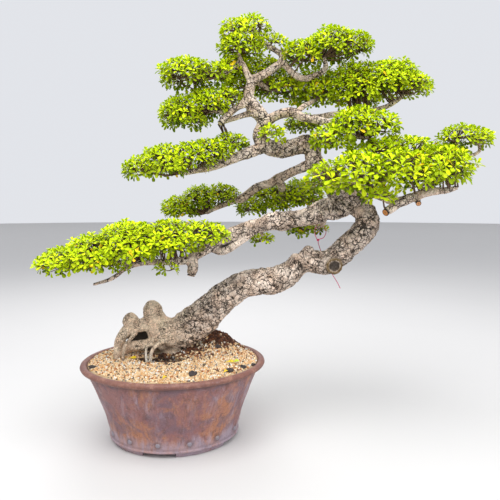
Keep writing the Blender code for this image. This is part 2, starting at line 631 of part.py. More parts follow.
def whorl_shape(reach):
    """Blunt leaves round one short stem: thin wedges from a common middle to two shoulders each."""
    rim = []
    for leaf in range(LEAVES_IN_WHORL):
        angle = 2 * math.pi * leaf / LEAVES_IN_WHORL
        for share, offset, rise in (
            (LEAF_NECK, -math.pi / LEAVES_IN_WHORL, 0.0),
            (LEAF_SHOULDER, -LEAF_HALF_ANGLE, LEAF_CUP),
            (LEAF_SHOULDER, LEAF_HALF_ANGLE, LEAF_CUP),
        ):
            rim.append((
                reach * share * math.cos(angle + offset),
                reach * share * math.sin(angle + offset),
                reach * rise,
            ))
    count = len(rim)
    third_turns = [2 * math.pi * corner / 3 for corner in range(3)]
    stem = [
        (STEM_RADIUS * math.cos(angle), STEM_RADIUS * math.sin(angle), height)
        for height in (-LEAF_THICKNESS, -STEM_STAND - STEM_SUNK)
        for angle in third_turns
    ]
    top = count + len(stem)
    points = [*rim, *stem, (0.0, 0.0, WHORL_CROWN)]
    faces = [(index, (index + 1) % count, top) for index in range(count)]
    third = count // 3
    for corner in range(3):
        collar = count + corner
        following = count + (corner + 1) % 3
        for step in range(third):
            start = (corner * third + step - third // 2) % count
            faces.append(((start + 1) % count, start, collar))
        seam = (corner * third + third - third // 2) % count
        faces.append((seam, collar, following))
        faces.append((collar, collar + 3, following + 3, following))
    faces.append((count + 5, count + 4, count + 3))
    return np.array(points), faces


def surface_of(shape, start, direction):
    """Where a line from inside a shape comes out of it."""
    points, faces = shape
    tree = BVHTree.FromPolygons([tuple(point) for point in points], faces)
    hit, _, _, _ = tree.ray_cast(Vector(start), Vector(direction))
    return np.array(hit)


def outside_lobes(point, lobes, margin):
    """Whether a point lies clear of every lobe by about the margin."""
    for lobe in lobes:
        if np.sum(((point - lobe[:3]) / (lobe[3:] + margin)) ** 2) < 1:
            return False
    return True


def even_directions(count):
    """Directions spread evenly over a ball by the golden angle."""
    index = np.arange(count) + 0.5
    height = 1 - 2 * index / count
    angle = math.pi * (1 + 5**0.5) * index
    flat = np.sqrt(1 - height**2)
    return np.column_stack([flat * np.cos(angle), flat * np.sin(angle), height])


def whorls_of(pad, heart, wood, taken, chance):
    """Places and facings of a pad's whorls: even, clear of the wood, of other pads and of each other."""
    reach, own = PADS[pad]
    spacing = reach * WHORL_SPACING
    own = np.array(own, float)
    others = np.array([lobe for name, data in PADS.items() if name != pad for lobe in data[1]], float)
    near = np.linalg.norm(others[:, :3] - own[:, :3].mean(axis=0), axis=1) < NEIGHBOUR_REACH
    others = others[near]
    placed_whorls = []
    for number, (lobe, shape) in enumerate(zip(own, heart)):
        directions = even_directions(WHORL_TRIES_PER_LOBE)
        order = list(range(len(directions)))
        chance.shuffle(order)
        rest = np.delete(own, number, axis=0)
        for index in order:
            direction = directions[index]
            if direction[2] < WHORL_UNDERSIDE:
                continue
            direction = unit(direction * lobe[3:])
            normal = unit(direction / lobe[3:] ** 2)
            lean = np.array([chance.uniform(-WHORL_LEAN, WHORL_LEAN) for _ in range(3)])
            facing = unit(normal + (0, 0, WHORL_UPWARD) + lean)
            surface = surface_of(shape, lobe[:3], direction)
            centre = surface + facing * STEM_STAND
            if any(np.linalg.norm(centre - other) < spacing for other, _, _ in placed_whorls):
                continue
            if not outside_lobes(surface, rest, WHORL_GAP):
                continue
            if not outside_lobes(centre, others, reach + WHORL_GAP):
                continue
            if any(np.linalg.norm(centre - other) < reach + size + WHORL_GAP for other, size in taken):
                continue
            if np.any(np.linalg.norm(wood[:, :3] - centre, axis=1) < wood[:, 3] + WOOD_ROOM):
                continue
            placed_whorls.append((centre, facing, chance.uniform(0, 2 * math.pi)))
    taken.extend((centre, reach) for centre, _, _ in placed_whorls)
    return placed_whorls


def make_foliage(finish):
    """Every pad of leaves, cut clear of the wood that it grows on."""
    chance = random.Random(SEED)
    routes = [stations for _, _, stations in LIMBS.values()]
    routes += [[(*point, STRING_ROOM) for point in route] for route in (STRING_LOOP, STRING_TAIL)]
    wood = np.vstack([smooth_route(stations, WOOD_STEP) for stations in routes])
    taken = []
    for pad, (reach, lobes) in PADS.items():
        heart = [lobe_shape(lobe, chance) for lobe in lobes]
        low = np.min([points.min(axis=0) for points, _ in heart], axis=0) - 2 * reach
        high = np.max([points.max(axis=0) for points, _ in heart], axis=0) + 2 * reach
        leaves = [
            aimed(whorl_shape(reach), centre, facing, turn)
            for centre, facing, turn in whorls_of(pad, heart, wood, taken, chance)
        ]
        holes = []
        for name in LIMBS:
            hole = channel(name)
            if np.all(hole[0].max(axis=0) > low) and np.all(hole[0].min(axis=0) < high):
                holes.append(hole)
        solid(pad, finish, [*heart, *leaves], holes)


def stand_over_origin():
    """Moves every object alike, so that the origin is under the middle of the whole."""
    made = list(bpy.context.scene.objects)
    points = np.vstack([[tuple(vertex.co) for vertex in found.data.vertices] for found in made])
    low, high = points.min(axis=0), points.max(axis=0)
    middle = (low + high) / 2
    for found in made:
        found.location = (-middle[0], -middle[1], -low[2])


def main():
    clear_scene()
    make_pot(material("stoneware", (0.22, 0.115, 0.09), 0.55))
    make_screens(material("black_plastic", (0.02, 0.02, 0.022), 0.5))
    make_soil(material("potting_grit", (0.55, 0.38, 0.23), 0.9))
    make_tree(material("bark", (0.42, 0.34, 0.26), 0.85))
    make_string(material("pink_string", (0.75, 0.08, 0.2), 0.5))
    make_foliage(material("leaf", (0.32, 0.5, 0.03), 0.4))
    stand_over_origin()


main()
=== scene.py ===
"""The looks of a slanting bonsai in an oval stoneware pot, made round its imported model.

Shapes are given in millimetres from the middle of the pot's foot: +X to the right, +Y to the
back, +Z up. They go into the meshes in metres, in the model's own frame.
"""

import itertools
import math

import bpy
import numpy as np
from mathutils import Matrix, Vector


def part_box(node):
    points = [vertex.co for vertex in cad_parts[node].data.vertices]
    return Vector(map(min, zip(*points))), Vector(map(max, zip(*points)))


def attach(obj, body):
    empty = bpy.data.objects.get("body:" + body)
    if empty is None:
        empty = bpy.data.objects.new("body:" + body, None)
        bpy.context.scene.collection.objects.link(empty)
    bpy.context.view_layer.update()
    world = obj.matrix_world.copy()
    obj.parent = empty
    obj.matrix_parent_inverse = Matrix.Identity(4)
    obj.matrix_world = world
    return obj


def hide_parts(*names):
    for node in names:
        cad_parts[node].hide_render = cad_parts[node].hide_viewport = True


bl_info = {
    "name": "Slanting Bonsai Looks",
    "version": (1, 0, 0),
    "blender": (4, 5, 0),
    "location": "3D View > Sidebar > Bonsai",
    "description": "Builds the bark, leaves, grit, pot, string and stage of the bonsai round its model",
    "category": "Object",
}

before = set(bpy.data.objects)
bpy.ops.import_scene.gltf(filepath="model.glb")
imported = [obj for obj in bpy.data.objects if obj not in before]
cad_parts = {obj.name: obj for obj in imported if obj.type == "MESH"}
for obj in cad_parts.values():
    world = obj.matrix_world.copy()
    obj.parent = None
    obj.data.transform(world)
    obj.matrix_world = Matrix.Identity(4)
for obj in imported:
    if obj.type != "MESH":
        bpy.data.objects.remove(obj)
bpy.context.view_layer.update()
POT_LOW, POT_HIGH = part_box("pot")
ORIGIN = np.array([(POT_LOW.x + POT_HIGH.x) / 2, (POT_LOW.y + POT_HIGH.y) / 2, 0.0])
MM = 0.001
SEED = 407
# The random tables behind the noise and cell patterns repeat after this many cells.
TABLE_CELLS = 48
# Soft noises: the size of their cells in millimetres, and what is added to the seed for each.
NOISES = {
    "bark_bend": (9, 0), "bark_jag": (2.8, 12), "bark_patch": (26, 5), "bark_lump": (17, 6),
    "bark_small_lump": (8, 7), "bark_pimple": (3.4, 8), "wound": (4, 9), "bark_worn": (31, 10),
    "bark_dark": (23, 11), "soil": (15, 20), "soil_fine": (5, 21), "humus": (9, 22), "bed": (2.2, 23),
    "pellet": (0.5, 24), "sunk": (11, 25), "pot": (0.6, 30), "pad": (26, 50),
}
PLATE_SEED = 3
SMALL_PLATE_SEED = 4
GRIT_SEED = 60
TINY = 1e-9
# A direction that follows Y or Z more than this is crossed with another axis.
MOSTLY_Y = 0.9
MOSTLY_Z = 0.8
GOLDEN_ANGLE = math.pi * (3 - 5**0.5)

# Every limb is a route of stations: x, y, z and the radius there.
LIMBS = {
    "trunk_low": (
        (-36, 1, 186, 24), (-18, 0, 205, 33), (8, 0, 211, 33), (46, -4, 234, 33), (78, -5, 261, 31),
        (107, -5, 287, 28), (139, -5, 309, 26), (175, -5, 317, 26), (207, -4, 321, 28), (232, -3, 335, 26),
        (254, 0, 352, 21), (280, 0, 358, 23), (308, 0, 356, 25), (333, -5, 371, 24), (354, -10, 392, 23),
        (375, -12, 411, 23), (387, -14, 433, 22), (383, -10, 454, 21), (367, -5, 468, 20),
        (348, 0, 479, 20), (331, 10, 495, 20), (316, 15, 517, 19), (297, 22, 541, 18), (286, 30, 562, 17),
        (282, 34, 586, 17),
    ),
    "trunk_high": (
        (298, 37, 588, 11), (285, 36, 591, 16), (268, 34, 593, 18), (246, 28, 587, 16), (219, 20, 582, 17),
        (195, 10, 584, 15), (176, 1, 596, 13), (174, 0, 611, 12), (181, -2, 626, 12), (177, -5, 643, 13),
        (163, -5, 658, 13.5), (153, -5, 677, 10.5), (155, -4, 696, 9.5), (164, 0, 714, 9), (180, 3, 723, 8),
        (200, 6, 736, 8), (215, 9, 748, 7.3), (217, 8, 762, 6.3), (204, 6, 771, 5.8), (190, 5, 779, 5.4),
        (178, 3, 788, 4.5), (168, 2, 800, 4), (156, 0, 812, 3),
    ),
    "root_flare": ((8, 28, 118, 24), (2, 24, 160, 32), (4, 12, 196, 31)),
    "root_knob": (
        (-28, 0, 200, 25), (-36, -3, 235, 21), (-41, -5, 256, 18.5), (-43, -5, 267, 16), (-44, -5, 274, 11),
        (-44, -5, 277.5, 5),
    ),
    "root_upper": (
        (-36, -5, 246, 16), (-61, -8, 229, 13), (-82, -10, 225, 13), (-96, -16, 213, 11),
        (-105, -21, 200, 9), (-109, -24, 184, 8), (-109, -27, 164, 7.5), (-112, -29, 142, 6),
    ),
    "root_lump": (
        (-68, -9, 222, 11), (-80, -9, 232, 15), (-86, -10, 241, 15.5), (-88, -10, 248, 12),
        (-89, -10, 253.5, 6),
    ),
    "root_web": ((-22, 16, 205, 18), (-58, 12, 204, 16), (-94, 2, 193, 12)),
    "root_lower": (
        (-8, -8, 196, 16), (-46, -16, 191, 12), (-72, -20, 190, 10), (-90, -19, 187, 9.5),
        (-97, -14, 176, 9), (-98, -10, 148, 8),
    ),
    "root_right": ((18, 12, 198, 22), (50, 34, 182, 15), (78, 50, 158, 8)),
    "root_back": ((-18, 18, 196, 22), (-45, 50, 174, 14), (-62, 74, 150, 8)),
    "root_thin": ((-50, -22, 194, 4.2), (-49, -40, 184, 3.2), (-47, -48, 168, 2.9), (-45, -50, 150, 2.8)),
    "root_thin_left": ((-72, -20, 217, 5.2), (-83, -32, 204, 4), (-92, -37, 189, 3.5), (-96, -39, 152, 3.1)),
    "root_thin_right": (
        (-8, -22, 204, 6.5), (-26, -43, 199, 4.4), (-37, -50, 182, 3.7), (-38, -52, 152, 3.2),
    ),
    "low_left": (
        (357, -5, 468, 14), (329, -8, 464, 20), (303, -10, 460, 21), (277, -12, 448, 18),
        (249, -15, 443, 15.5), (222, -18, 439, 17.5), (198, -20, 439, 16.5), (175, -24, 431, 14.5),
        (151, -28, 425, 14.5), (132, -32, 420, 12.5), (113, -36, 412, 12.5), (95, -40, 403, 11.5),
        (82, -42, 391, 11.5), (69, -44, 384, 9.6), (53, -46, 376, 10.5), (44, -48, 369, 9.6),
        (27, -50, 364, 9), (3, -54, 362, 7), (-34, -60, 362, 5.7), (-62, -62, 358, 5.3),
        (-82, -64, 350, 4.8), (-96, -66, 338, 4.2), (-112, -68, 329, 3.8), (-140, -70, 321, 2.8),
    ),
    "low_left_tip": (
        (-40, -60, 362, 4.6), (-80, -58, 362, 4.2), (-120, -60, 356, 3.6), (-165, -62, 350, 3),
    ),
    "low_strand": (
        (162, -26, 418, 7), (137, -34, 400, 6.8), (117, -38, 386, 6.8), (99, -42, 380, 6.7),
        (78, -42, 388, 6),
    ),
    "low_web": ((166, -18, 424, 8), (137, -24, 407, 10), (105, -30, 396, 10), (82, -38, 390, 6)),
    "low_stub": ((45, -48, 367, 9.5), (46, -50, 350, 10.5), (42, -50, 337, 8.4)),
    "bump_low": ((240, -6, 350, 12), (244, -15, 364, 10.5), (246, -18, 372, 6)),
    "bump_high": ((264, 0, 362, 15), (270, -9, 376, 13), (273, -12, 387, 7)),
    "mid_left": (
        (288, 30, 556, 13), (262, 38, 546, 10.3), (238, 46, 536, 9.3), (218, 54, 526, 10.4),
        (197, 62, 516, 8.4), (172, 70, 508, 8.5), (151, 78, 494, 8.6), (138, 82, 484, 9),
        (120, 88, 480, 6.5), (101, 94, 472, 6), (78, 100, 463, 5.5), (58, 106, 452, 4.5),
    ),
    "mid_inner": ((216, 50, 524, 8.3), (224, 82, 500, 8), (216, 108, 478, 7), (190, 122, 466, 5.5)),
    "left": (
        (182, 2, 584, 11), (159, -4, 574, 11.5), (135, -8, 565, 9.8), (116, -11, 557, 8.8),
        (96, -14, 549, 7.8), (73, -18, 541, 6.8), (50, -22, 536, 5.5), (20, -28, 530, 4.5),
    ),
    "cut_limb": (
        (156, -5, 676, 9), (145, -5, 668, 8.5), (128, -8, 658, 7), (112, -10, 644, 7), (99, -12, 630, 6.6),
    ),
    "cut_limb_twig": ((116, -10, 648, 4.5), (98, -8, 650, 4), (76, -4, 652, 3.2)),
    "upper_left_low": ((158, 0, 650, 7), (140, 2, 645, 5.5), (117, 6, 638, 5), (92, 10, 630, 4)),
    "upper_left_high": (
        (158, -4, 704, 7), (147, -8, 728, 5.8), (138, -10, 742, 5.4), (118, -12, 730, 5),
        (98, -14, 717, 4.5),
    ),
    "apex_left": ((142, -9, 738, 5), (134, -10, 754, 4.4), (132, -8, 772, 3.5)),
    "upper_right": (
        (217, 9, 752, 6.5), (235, 8, 731, 6.3), (251, 8, 720, 6), (264, 8, 717, 6), (280, 10, 723, 5.5),
        (297, 12, 731, 5.5), (304, 12, 742, 5), (300, 12, 760, 4),
    ),
    "upper_middle_twig": ((166, 4, 712, 6), (184, 26, 706, 4.8), (196, 44, 704, 3.8)),
    "mid_right": (
        (178, -2, 618, 10), (190, -6, 633, 9.8), (202, -8, 641, 8.8), (219, -12, 647, 9.3),
        (238, -16, 648, 8.7), (253, -20, 639, 7.7), (268, -24, 635, 7.3), (289, -28, 630, 7.2),
        (307, -34, 624, 6.3), (326, -42, 614, 5.5), (350, -50, 598, 4.8), (376, -56, 594, 3.8),
    ),
    "mid_right_twig": (
        (247, -17, 650, 5.4), (261, -10, 662, 5), (275, 14, 672, 4.6), (285, 44, 682, 4),
        (290, 66, 694, 3.4),
    ),
    "back_right": (
        (268, -20, 636, 6), (280, 12, 642, 6.5), (301, 34, 648, 6.5), (328, 40, 654, 6.1),
        (353, 40, 656, 5.7), (379, 38, 658, 5.3), (402, 34, 661, 5.1), (431, 30, 668, 4.8),
        (452, 26, 680, 4.2), (464, 24, 692, 3.6),
    ),
    "right": (
        (322, 12, 502, 17), (338, -4, 501, 15.5), (354, -22, 502, 13.6), (378, -50, 499, 11.3),
        (402, -75, 486, 10.1), (425, -85, 475, 9.1), (445, -90, 482, 8.5), (464, -95, 489, 7.6),
        (484, -95, 494, 7.2), (507, -95, 496, 6), (528, -96, 501, 4),
    ),
    "right_stub": ((426, -85, 474, 8), (412, -95, 465, 7.6), (399, -101, 458, 7.2)),
    "right_stub_small": ((456, -92, 482, 5.5), (455, -104, 474, 5.2)),
    "right_tip": (
        (462, -93, 491, 5.4), (490, -66, 508, 4.8), (516, -48, 528, 4.4), (548, -42, 556, 4.1),
        (572, -40, 562, 3.7), (590, -40, 572, 3.4), (586, -40, 588, 3),
    ),
    "right_tip_twig": ((538, -44, 549, 4), (545, -44, 570, 3.4), (548, -44, 594, 2.8)),
    "right_back": (
        (402, -72, 488, 6.5), (412, -24, 516, 5.8), (436, 0, 544, 5.2), (464, 10, 562, 4.4),
        (504, 14, 566, 3.4),
    ),
    "right_front_twig": ((390, -62, 494, 6), (374, -90, 502, 5), (350, -110, 510, 4), (312, -104, 512, 3.2)),
    "back_right_twig": ((284, 16, 643, 5.5), (272, 34, 640, 4.4), (262, 48, 636, 3.2)),
    "loop_twig": ((303, -6, 446, 5), (303, 6, 432, 4.2), (292, 14, 424, 3.6), (276, 18, 420, 3)),
    "under_twig": ((172, -22, 428, 5), (178, -10, 414, 3.6), (180, 0, 406, 3)),
    "front_twig": ((180, -2, 614, 5), (192, -16, 608, 3.8), (202, -26, 604, 3)),
}
# Bark swells and flutes: how much the radius changes round a limb and along it.
FLUTE = 0.06
KNOT = 0.045
FLUTE_WAVE = 70
KNOT_WAVE = 45
LIMB_SIDES = 24
LIMB_STEP = 5
# Limbs thinner than the first radius are smooth, and from the second up they have full plates.
SMOOTH_GIRTH = 3.5
PLATED_GIRTH = 19
# Size of the small plates as a share of the large ones'.
SMALL_PLATES = 0.55
# How far two noises shift the bark's cells.
BARK_BEND = 8
BARK_JAG = 2.6
# The roots' bark sets in along X and down Z, and it is smoother.
ROOTY_ALONG = (60, -10)
ROOTY_DOWN = (300, 270)
ROOT_SMOOTHING = 0.75
# Cracks: where one is fully dark as a share of its width, on large and on small plates.
CRACK_CORE = 0.15
SMALL_CRACK = (0.1, 0.7)
# How plated the bark has to be for large cracks, and how far and where these are worn away.
CRACKED_RANGE = (0.15, 0.5)
WORN_LEAST = 0.7
WORN_RANGE = (0.3, 0.6)
# How strong small cracks are, how much less on large plates, and the patches that they show in.
SMALL_SHARE = 0.5
SMALL_LOSS = 0.35
PATCH_RANGE = (0.3, 0.7)
PATCH_LIFT = 0.2
# Depth of the cracks on thin limbs, as a share of the trunk's.
THIN_DEPTH = 0.25
# Lumps as shares of the limb's radius, and finer relief in millimetres.
SMALL_LUMPS = 0.6
LUMP_SHARE = 0.13
ROOT_LUMP_SHARE = 0.05
PLATE_RISE = 0.8
PIMPLES = 0.7
PIMPLES_EVERYWHERE = 0.4
# Dark patches on large plates, and the share of a hollow's spread that is fully dark with painted shade.
DARK_PATCHES = 0.5
DARK_RANGE = (0.64, 0.88)
HOLLOW_CORE = 0.55
# Bell curves over a burl: its swelling, its pit and the dark fold round it, whose darkness is partly painted
# shade, and their shares.
BURL_FALL = 2.2
BURL_PIT_FALL = 11
BURL_PIT_SHARE = 0.7
BURL_FOLD = 0.62
BURL_FOLD_FALL = 60
BURL_FOLD_SHARE = 0.7
# Rounds of smoothing after the limbs are joined, and how far each moves a point.
SMOOTHING_ROUNDS = 4
SMOOTHING_PULL = 0.5
# Points are measured against the limbs in batches of this many, to save memory.
BATCH = 4000
# Rough places on the bark: x, y, z, spread, height of the swelling, depth of its pit, darkness. The darkness
# is partly the bark's own and partly painted shade in pits, folds and undersides.
BURLS = (
    (79, -32, 269, 18, 6.0, 6.0, 1.0),
    (219, -30, 318, 22, 4.0, 1.0, 0.1),
    (232, -26, 322, 9, 2.0, 2.5, 0.5),
    (117, -24, 326, 12, 4.0, 1.0, 0.3),
    (246, -20, 368, 13, 3.0, 3.5, 0.9),
    (272, -16, 384, 13, 3.0, 3.0, 0.9),
    (258, -20, 360, 9, 1.0, 3.0, 0.8),
    (290, -22, 378, 9, 2.5, 2.0, 0.4),
    (48, -58, 352, 8, 2.5, 2.0, 0.5),
    (62, -52, 378, 8, 2.5, 1.5, 0.4),
    (219, -34, 449, 10, 3.0, 4.0, 0.8),
    (258, -30, 437, 8, 2.5, 3.0, 0.8),
    (190, -38, 445, 10, 4.0, 2.0, 0.3),
    (160, -40, 433, 10, 4.0, 2.0, 0.3),
    (-61, -24, 212, 12, 0.0, 5.0, 1.0),
    (20, -30, 236, 20, 3.0, 0.0, 0.0),
    (-92, -22, 238, 9, 3.0, 1.0, 0.1),
    (148, -26, 330, 14, 3.0, 1.0, 0.2),
    (240, 16, 586, 13, 4.0, 3.0, 0.9),
    (182, -14, 603, 9, 3.5, 2.0, 0.4),
    (128, -14, 658, 6, 2.0, 1.5, 0.4),
)
# Hollows between the roots, painted dark as shade: x, y, z, spread and darkness of the painted shade.
HOLLOW_SHADE = (
    (-58, 2, 206, 27, 1.0),
    (-40, -30, 172, 26, 0.9),
    (-10, -32, 176, 22, 0.7),
    (-84, -4, 198, 17, 1.0),
)
# Limbs that only fill the seam between two others, which is painted dark as shade.
SEAM_LIMBS = ("low_web",)
# How near such a limb the painted shade sets in and is full, and how clear of all others.
SEAM_REACH = 4
SEAM_CORE = 2
SEAM_CLEAR = (0.2, 2.2)
# The thin pale root under the foot of the trunk: a place on it and its spread.
PALE_ROOT = (-48, -46, 172, 20)
PALE_FALL = 2
PALE_GIRTH = (6, 4.5)
WOUND_AT = (320, -18, 352)
WOUND_FACING = (0.1, -1, -0.18)
WOUND_PROFILE = (
    (15, -12), (17, 0), (17.6, 4), (17, 7.5), (15, 9.6), (12.6, 9.4), (11, 7.6), (10, 6), (5, 5.4),
)
WOUND_SIDES = 48
# The wound's marks: how far they reach from its axis, how far out from its foot, and how sharply.
WOUND_REACH = 20
WOUND_SUNK = -3
WOUND_CALM = 12
WOUND_RING = 14.2
WOUND_RING_LIFT = 2
WOUND_RING_FALL = 0.14
WOUND_PIT = (12.4, 10.4)
WOUND_SHADE = (0.7, 0.25)
WOUND_GROOVE = 17.4
WOUND_GROOVE_FALL = 0.6
WOUND_GROOVE_SHADE = 0.8
# Sawn ends: where, which way they face, their radius and how orange they are.
SAWN_ENDS = (
    ((397.5, -102.4, 456.2), (-0.75, -0.5, -0.42), 6.4, 1.0),
    ((454.6, -107.6, 472.3), (-0.1, -0.85, -0.5), 4.6, 0.9),
    ((97.2, -12.2, 627.6), (-0.6, -0.35, -0.7), 5.8, 0.15),
    ((41.8, -50, 335.2), (-0.2, -0.25, -0.95), 7.0, 0.3),
)
SAWN_SIDES = 24
SAWN_PROFILE = ((0.96, -2.2), (1.04, -0.6), (1.02, 0.5), (0.9, 0.9), (0.78, 0.5), (0.4, 0.4))

# Each pad of leaves: its leaves' length, how well lit it is, and the lobes that it fills.
# A lobe is its middle x, y, z and its half length, half depth and half height.
PADS = {
    "foliage_lower_left": (13.8, 1.0, (
        (-192, -64, 358, 41, 44, 25), (-130, -66, 370, 50, 60, 36), (-64, -68, 391, 51, 66, 38),
        (4, -68, 399, 51, 58, 32), (64, -66, 413, 42, 42, 20), (-2, -66, 352, 15, 13, 7),
    )),
    "foliage_right": (17, 1.0, (
        (372, -122, 486, 27, 22, 14), (452, -97, 505, 44, 22, 12), (300, -98, 512, 36, 40, 26),
        (346, -114, 515, 46, 46, 36), (418, -106, 524, 54, 44, 32), (490, -82, 533, 52, 50, 34),
        (390, -52, 556, 48, 48, 23), (456, -20, 569, 55, 52, 23), (526, 10, 562, 48, 50, 20),
    )),
    "foliage_right_tip": (14, 0.9, ((548, -44, 595, 30, 32, 17), (580, -40, 592, 24, 28, 17))),
    "foliage_mid_right": (14.5, 0.95, (
        (310, -66, 590, 32, 32, 20), (350, -62, 611, 38, 44, 28), (392, -60, 614, 32, 36, 19),
    )),
    "foliage_crown_back": (13, 1.15, (
        (136, 54, 710, 32, 30, 17), (130, 50, 740, 32, 32, 21), (178, 60, 742, 41, 38, 24),
        (210, 70, 712, 53, 42, 30), (300, 80, 706, 61, 50, 36), (374, 50, 704, 53, 54, 43),
        (434, 34, 713, 49, 56, 37), (474, 28, 704, 35, 44, 22),
    )),
    "foliage_upper_right": (13.5, 1.05, (
        (266, 12, 762, 38, 38, 23), (314, 12, 773, 44, 48, 29), (353, 14, 779, 33, 36, 21),
    )),
    "foliage_apex": (14, 1.08, (
        (160, 0, 811, 25, 28, 16), (138, 0, 798, 33, 34, 21), (140, -2, 773, 36, 34, 20),
        (122, 8, 736, 24, 24, 17),
    )),
    "foliage_apex_small": (13, 0.85, ((202, 6, 785, 17, 18, 10),)),
    "foliage_upper_left": (14, 0.95, ((34, -16, 714, 39, 42, 26), (79, -12, 717, 33, 32, 16))),
    "foliage_second_left": (13.5, 1.0, (
        (28, 2, 643, 38, 46, 30), (68, 6, 662, 38, 48, 26), (104, 8, 677, 29, 34, 15),
    )),
    "foliage_left": (14, 0.9, (
        (-42, -40, 536, 34, 36, 21), (-4, -34, 545, 40, 48, 31), (38, -26, 555, 38, 46, 26),
        (80, -8, 571, 35, 38, 20), (117, 12, 589, 29, 30, 15),
    )),
    "foliage_front": (15.5, 1.0, ((198, -34, 603, 17, 18, 11),)),
    "foliage_inner": (12, 0.8, ((262, 50, 634, 29, 28, 16),)),
    "foliage_mid_left": (12.5, 0.8, (
        (6, 108, 459, 34, 36, 21), (48, 106, 478, 38, 46, 26), (93, 104, 487, 33, 40, 21),
    )),
    "foliage_mid_inner": (12.5, 0.78, (
        (164, 126, 462, 33, 36, 20), (207, 124, 479, 43, 44, 32), (263, 116, 486, 43, 40, 30),
    )),
    "foliage_loop": (12, 0.72, ((260, 22, 418, 24, 24, 13), (291, 34, 420, 18, 15, 9))),
    "foliage_under": (11, 0.72, ((180, 8, 401, 17, 16, 8),)),
}
# Layers of rosettes in a lobe: their share of its size, their spacing against the outer layer's
# and their light.
LAYERS = ((1.1, 1.0, 1.0), (0.88, 1.15, 0.55), (0.62, 1.6, 0.25))
# Pads are ragged: how far soft noise moves a rosette in or out, and the share of rosettes that
# stand out further.
PAD_RAGGED = 0.24
STRAY_SHARE = 0.07
STRAY_REACH = 0.13
ROSETTE_JITTER = 0.06
# Candidates for rosettes: how many for the lobe's size, the fewest, and how far their angles drift.
CANDIDATES = 36
FEWEST_CANDIDATES = 12
GOLDEN_DRIFT = 0.02
# How far the outer layer lifts off its lobe, in leaf lengths, and how flat a lobe's underside is.
OUTER_LIFT = 0.12
UNDERSIDE_FLATNESS = 0.8
# A rosette counts as clear of another lobe from this share of the lobe's size, squared.
LOBE_CLEAR = 0.92
# Rosettes that face down further than this are thinned out to this share.
UNDERSIDE_FACING = -0.1
UNDERSIDE_SHARE = 0.6
# The light on a pad's underside, what its top has more, and the facings between the two.
UNDER_LIGHT = 0.55
MORE_LIGHT = 0.45
LIGHT_FACING = (-0.35, 0.45)
# The most that a rosette may face down, as the height of its lobe's outward direction.
LOWEST_FACING = -0.62
# How far rosettes turn to the sky, how far they lean at random and how clear of the wood they stay.
ROSETTE_UPWARD = 0.55
ROSETTE_LEAN = 0.3
ROSETTE_WOOD_GAP = 5
# A leaf's outline from its stalk to its blunt tip: share along the leaf and half width.
LEAF_OUTLINE = ((0.0, 0.0), (0.36, 0.08), (0.68, 0.225), (0.92, 0.18), (1.0, 0.0))
LEAF_MIDDLE = 0.62
LEAF_FOLD = 0.28
LEAF_CURL = 0.14
LEAF_THICKNESS = 0.03
# Leaves in a rosette: the outer ones' tilt, how much less the inner ones' is and its scatter, in
# degrees; how much smaller the inner ones are; the least size and what chance adds.
LEAF_TILTS = (78, 46, 24)
INNER_SMALLER = 0.38
LEAF_SIZES = (0.8, 0.4)
LEAF_TWIST = 0.3
SHOOT_LENGTH = 2.6
# What turns the upper sides of leaves to the sky.
SKYWARD = (0, 0, 0.6)
# Leaves are turned about their shoot from a direction square to this one.
ODD_DIRECTION = (0.31, 0.87, 0.37)
LEAVES_PRESENT = 0.93
# A leaf's light against its rosette's: the least, and what chance adds.
LEAF_LIGHTS = (0.85, 0.3)
# Edges sharper than this many degrees are shaded sharp.
SHARP_LEAF = 70
# How far twigs bow, as a share of their length, and how far forks hang below their place.
STALK_BOW = 0.1
BRANCHLET_BOW = 0.16
FORK_DROP = 3
TWIG_SIDES = 3
TWIG_SEGMENTS = 3
# Radii of the twigs: where a branchlet leaves the wood, at its fork and at a rosette.
TWIG_RADII = (2.1, 1.3, 0.7)
# Rosettes that share a fork, the fewest forks, and how far out of its lobe's middle a fork lies.
ROSETTES_ON_FORK = 7
FEWEST_FORKS = 2
FORK_DEPTH = 0.5

# The grit: flush with the lip at its edge, crowned to the middle, with a heap behind the trunk.
SOIL_EDGE_HEIGHT = 155
SOIL_CROWN = 19
SOIL_HEAP_AT = (84, 56)
SOIL_HEAP_SPREAD = (44, 38)
SOIL_HEAP_HEIGHT = 40
SOIL_HOLLOW_AT = (-16, -38)
SOIL_HOLLOW_SPREAD = (38, 17)
SOIL_HOLLOW_DEPTH = 12
# The shaded strip of humus under the trunk: its middle, its half length and half width, and its slant.
HUMUS_AT = (18, -14)
HUMUS_SPREAD = (58, 20)
HUMUS_SLANT = 0.3
# Half the length of the grit at the lip.
SOIL_RIM = 170.4
# Roughness of the grit's top, in millimetres for the coarse noise and for the fine one.
SOIL_ROUGH = (2.4, 1.4)
# How brown the soil is: the heap's strength, the whole's, what noise and chance add, and the least.
HEAP_BROWN = 1.6
BROWN = 1.25
BROWN_NOISE = 0.9
BROWN_LEAST = 0.35
# Painted shade on the grit: where it sets in under the trunk and how much noise breaks it, the least of it on
# the bed between the grains, and the bed's tones.
GRIT_SHADE_RANGE = (0.4, 0.8)
GRIT_SHADE_NOISE = 0.7
BED_SHADE = 0.4
BED_TONES = (0.25, 0.4)
# The innermost ring of the grit's top as a share of its rim, and its floor's half length and height.
SOIL_MIDDLE = 0.012
SOIL_FLOOR = (118, 22.5)
SOIL_SECTORS = 144
SOIL_RINGS = 56
# A cube's corners and its triangles.
CUBE_CORNERS = (
    (1, 1, 1), (-1, 1, 1), (-1, -1, 1), (1, -1, 1), (1, 1, -1), (-1, 1, -1), (-1, -1, -1), (1, -1, -1),
)
CUBE_FACES = (
    (0, 1, 2), (0, 2, 3), (4, 6, 5), (4, 7, 6), (0, 5, 1), (0, 4, 5),
    (1, 6, 2), (1, 5, 6), (2, 7, 3), (2, 6, 7), (3, 4, 0), (3, 7, 4),
)
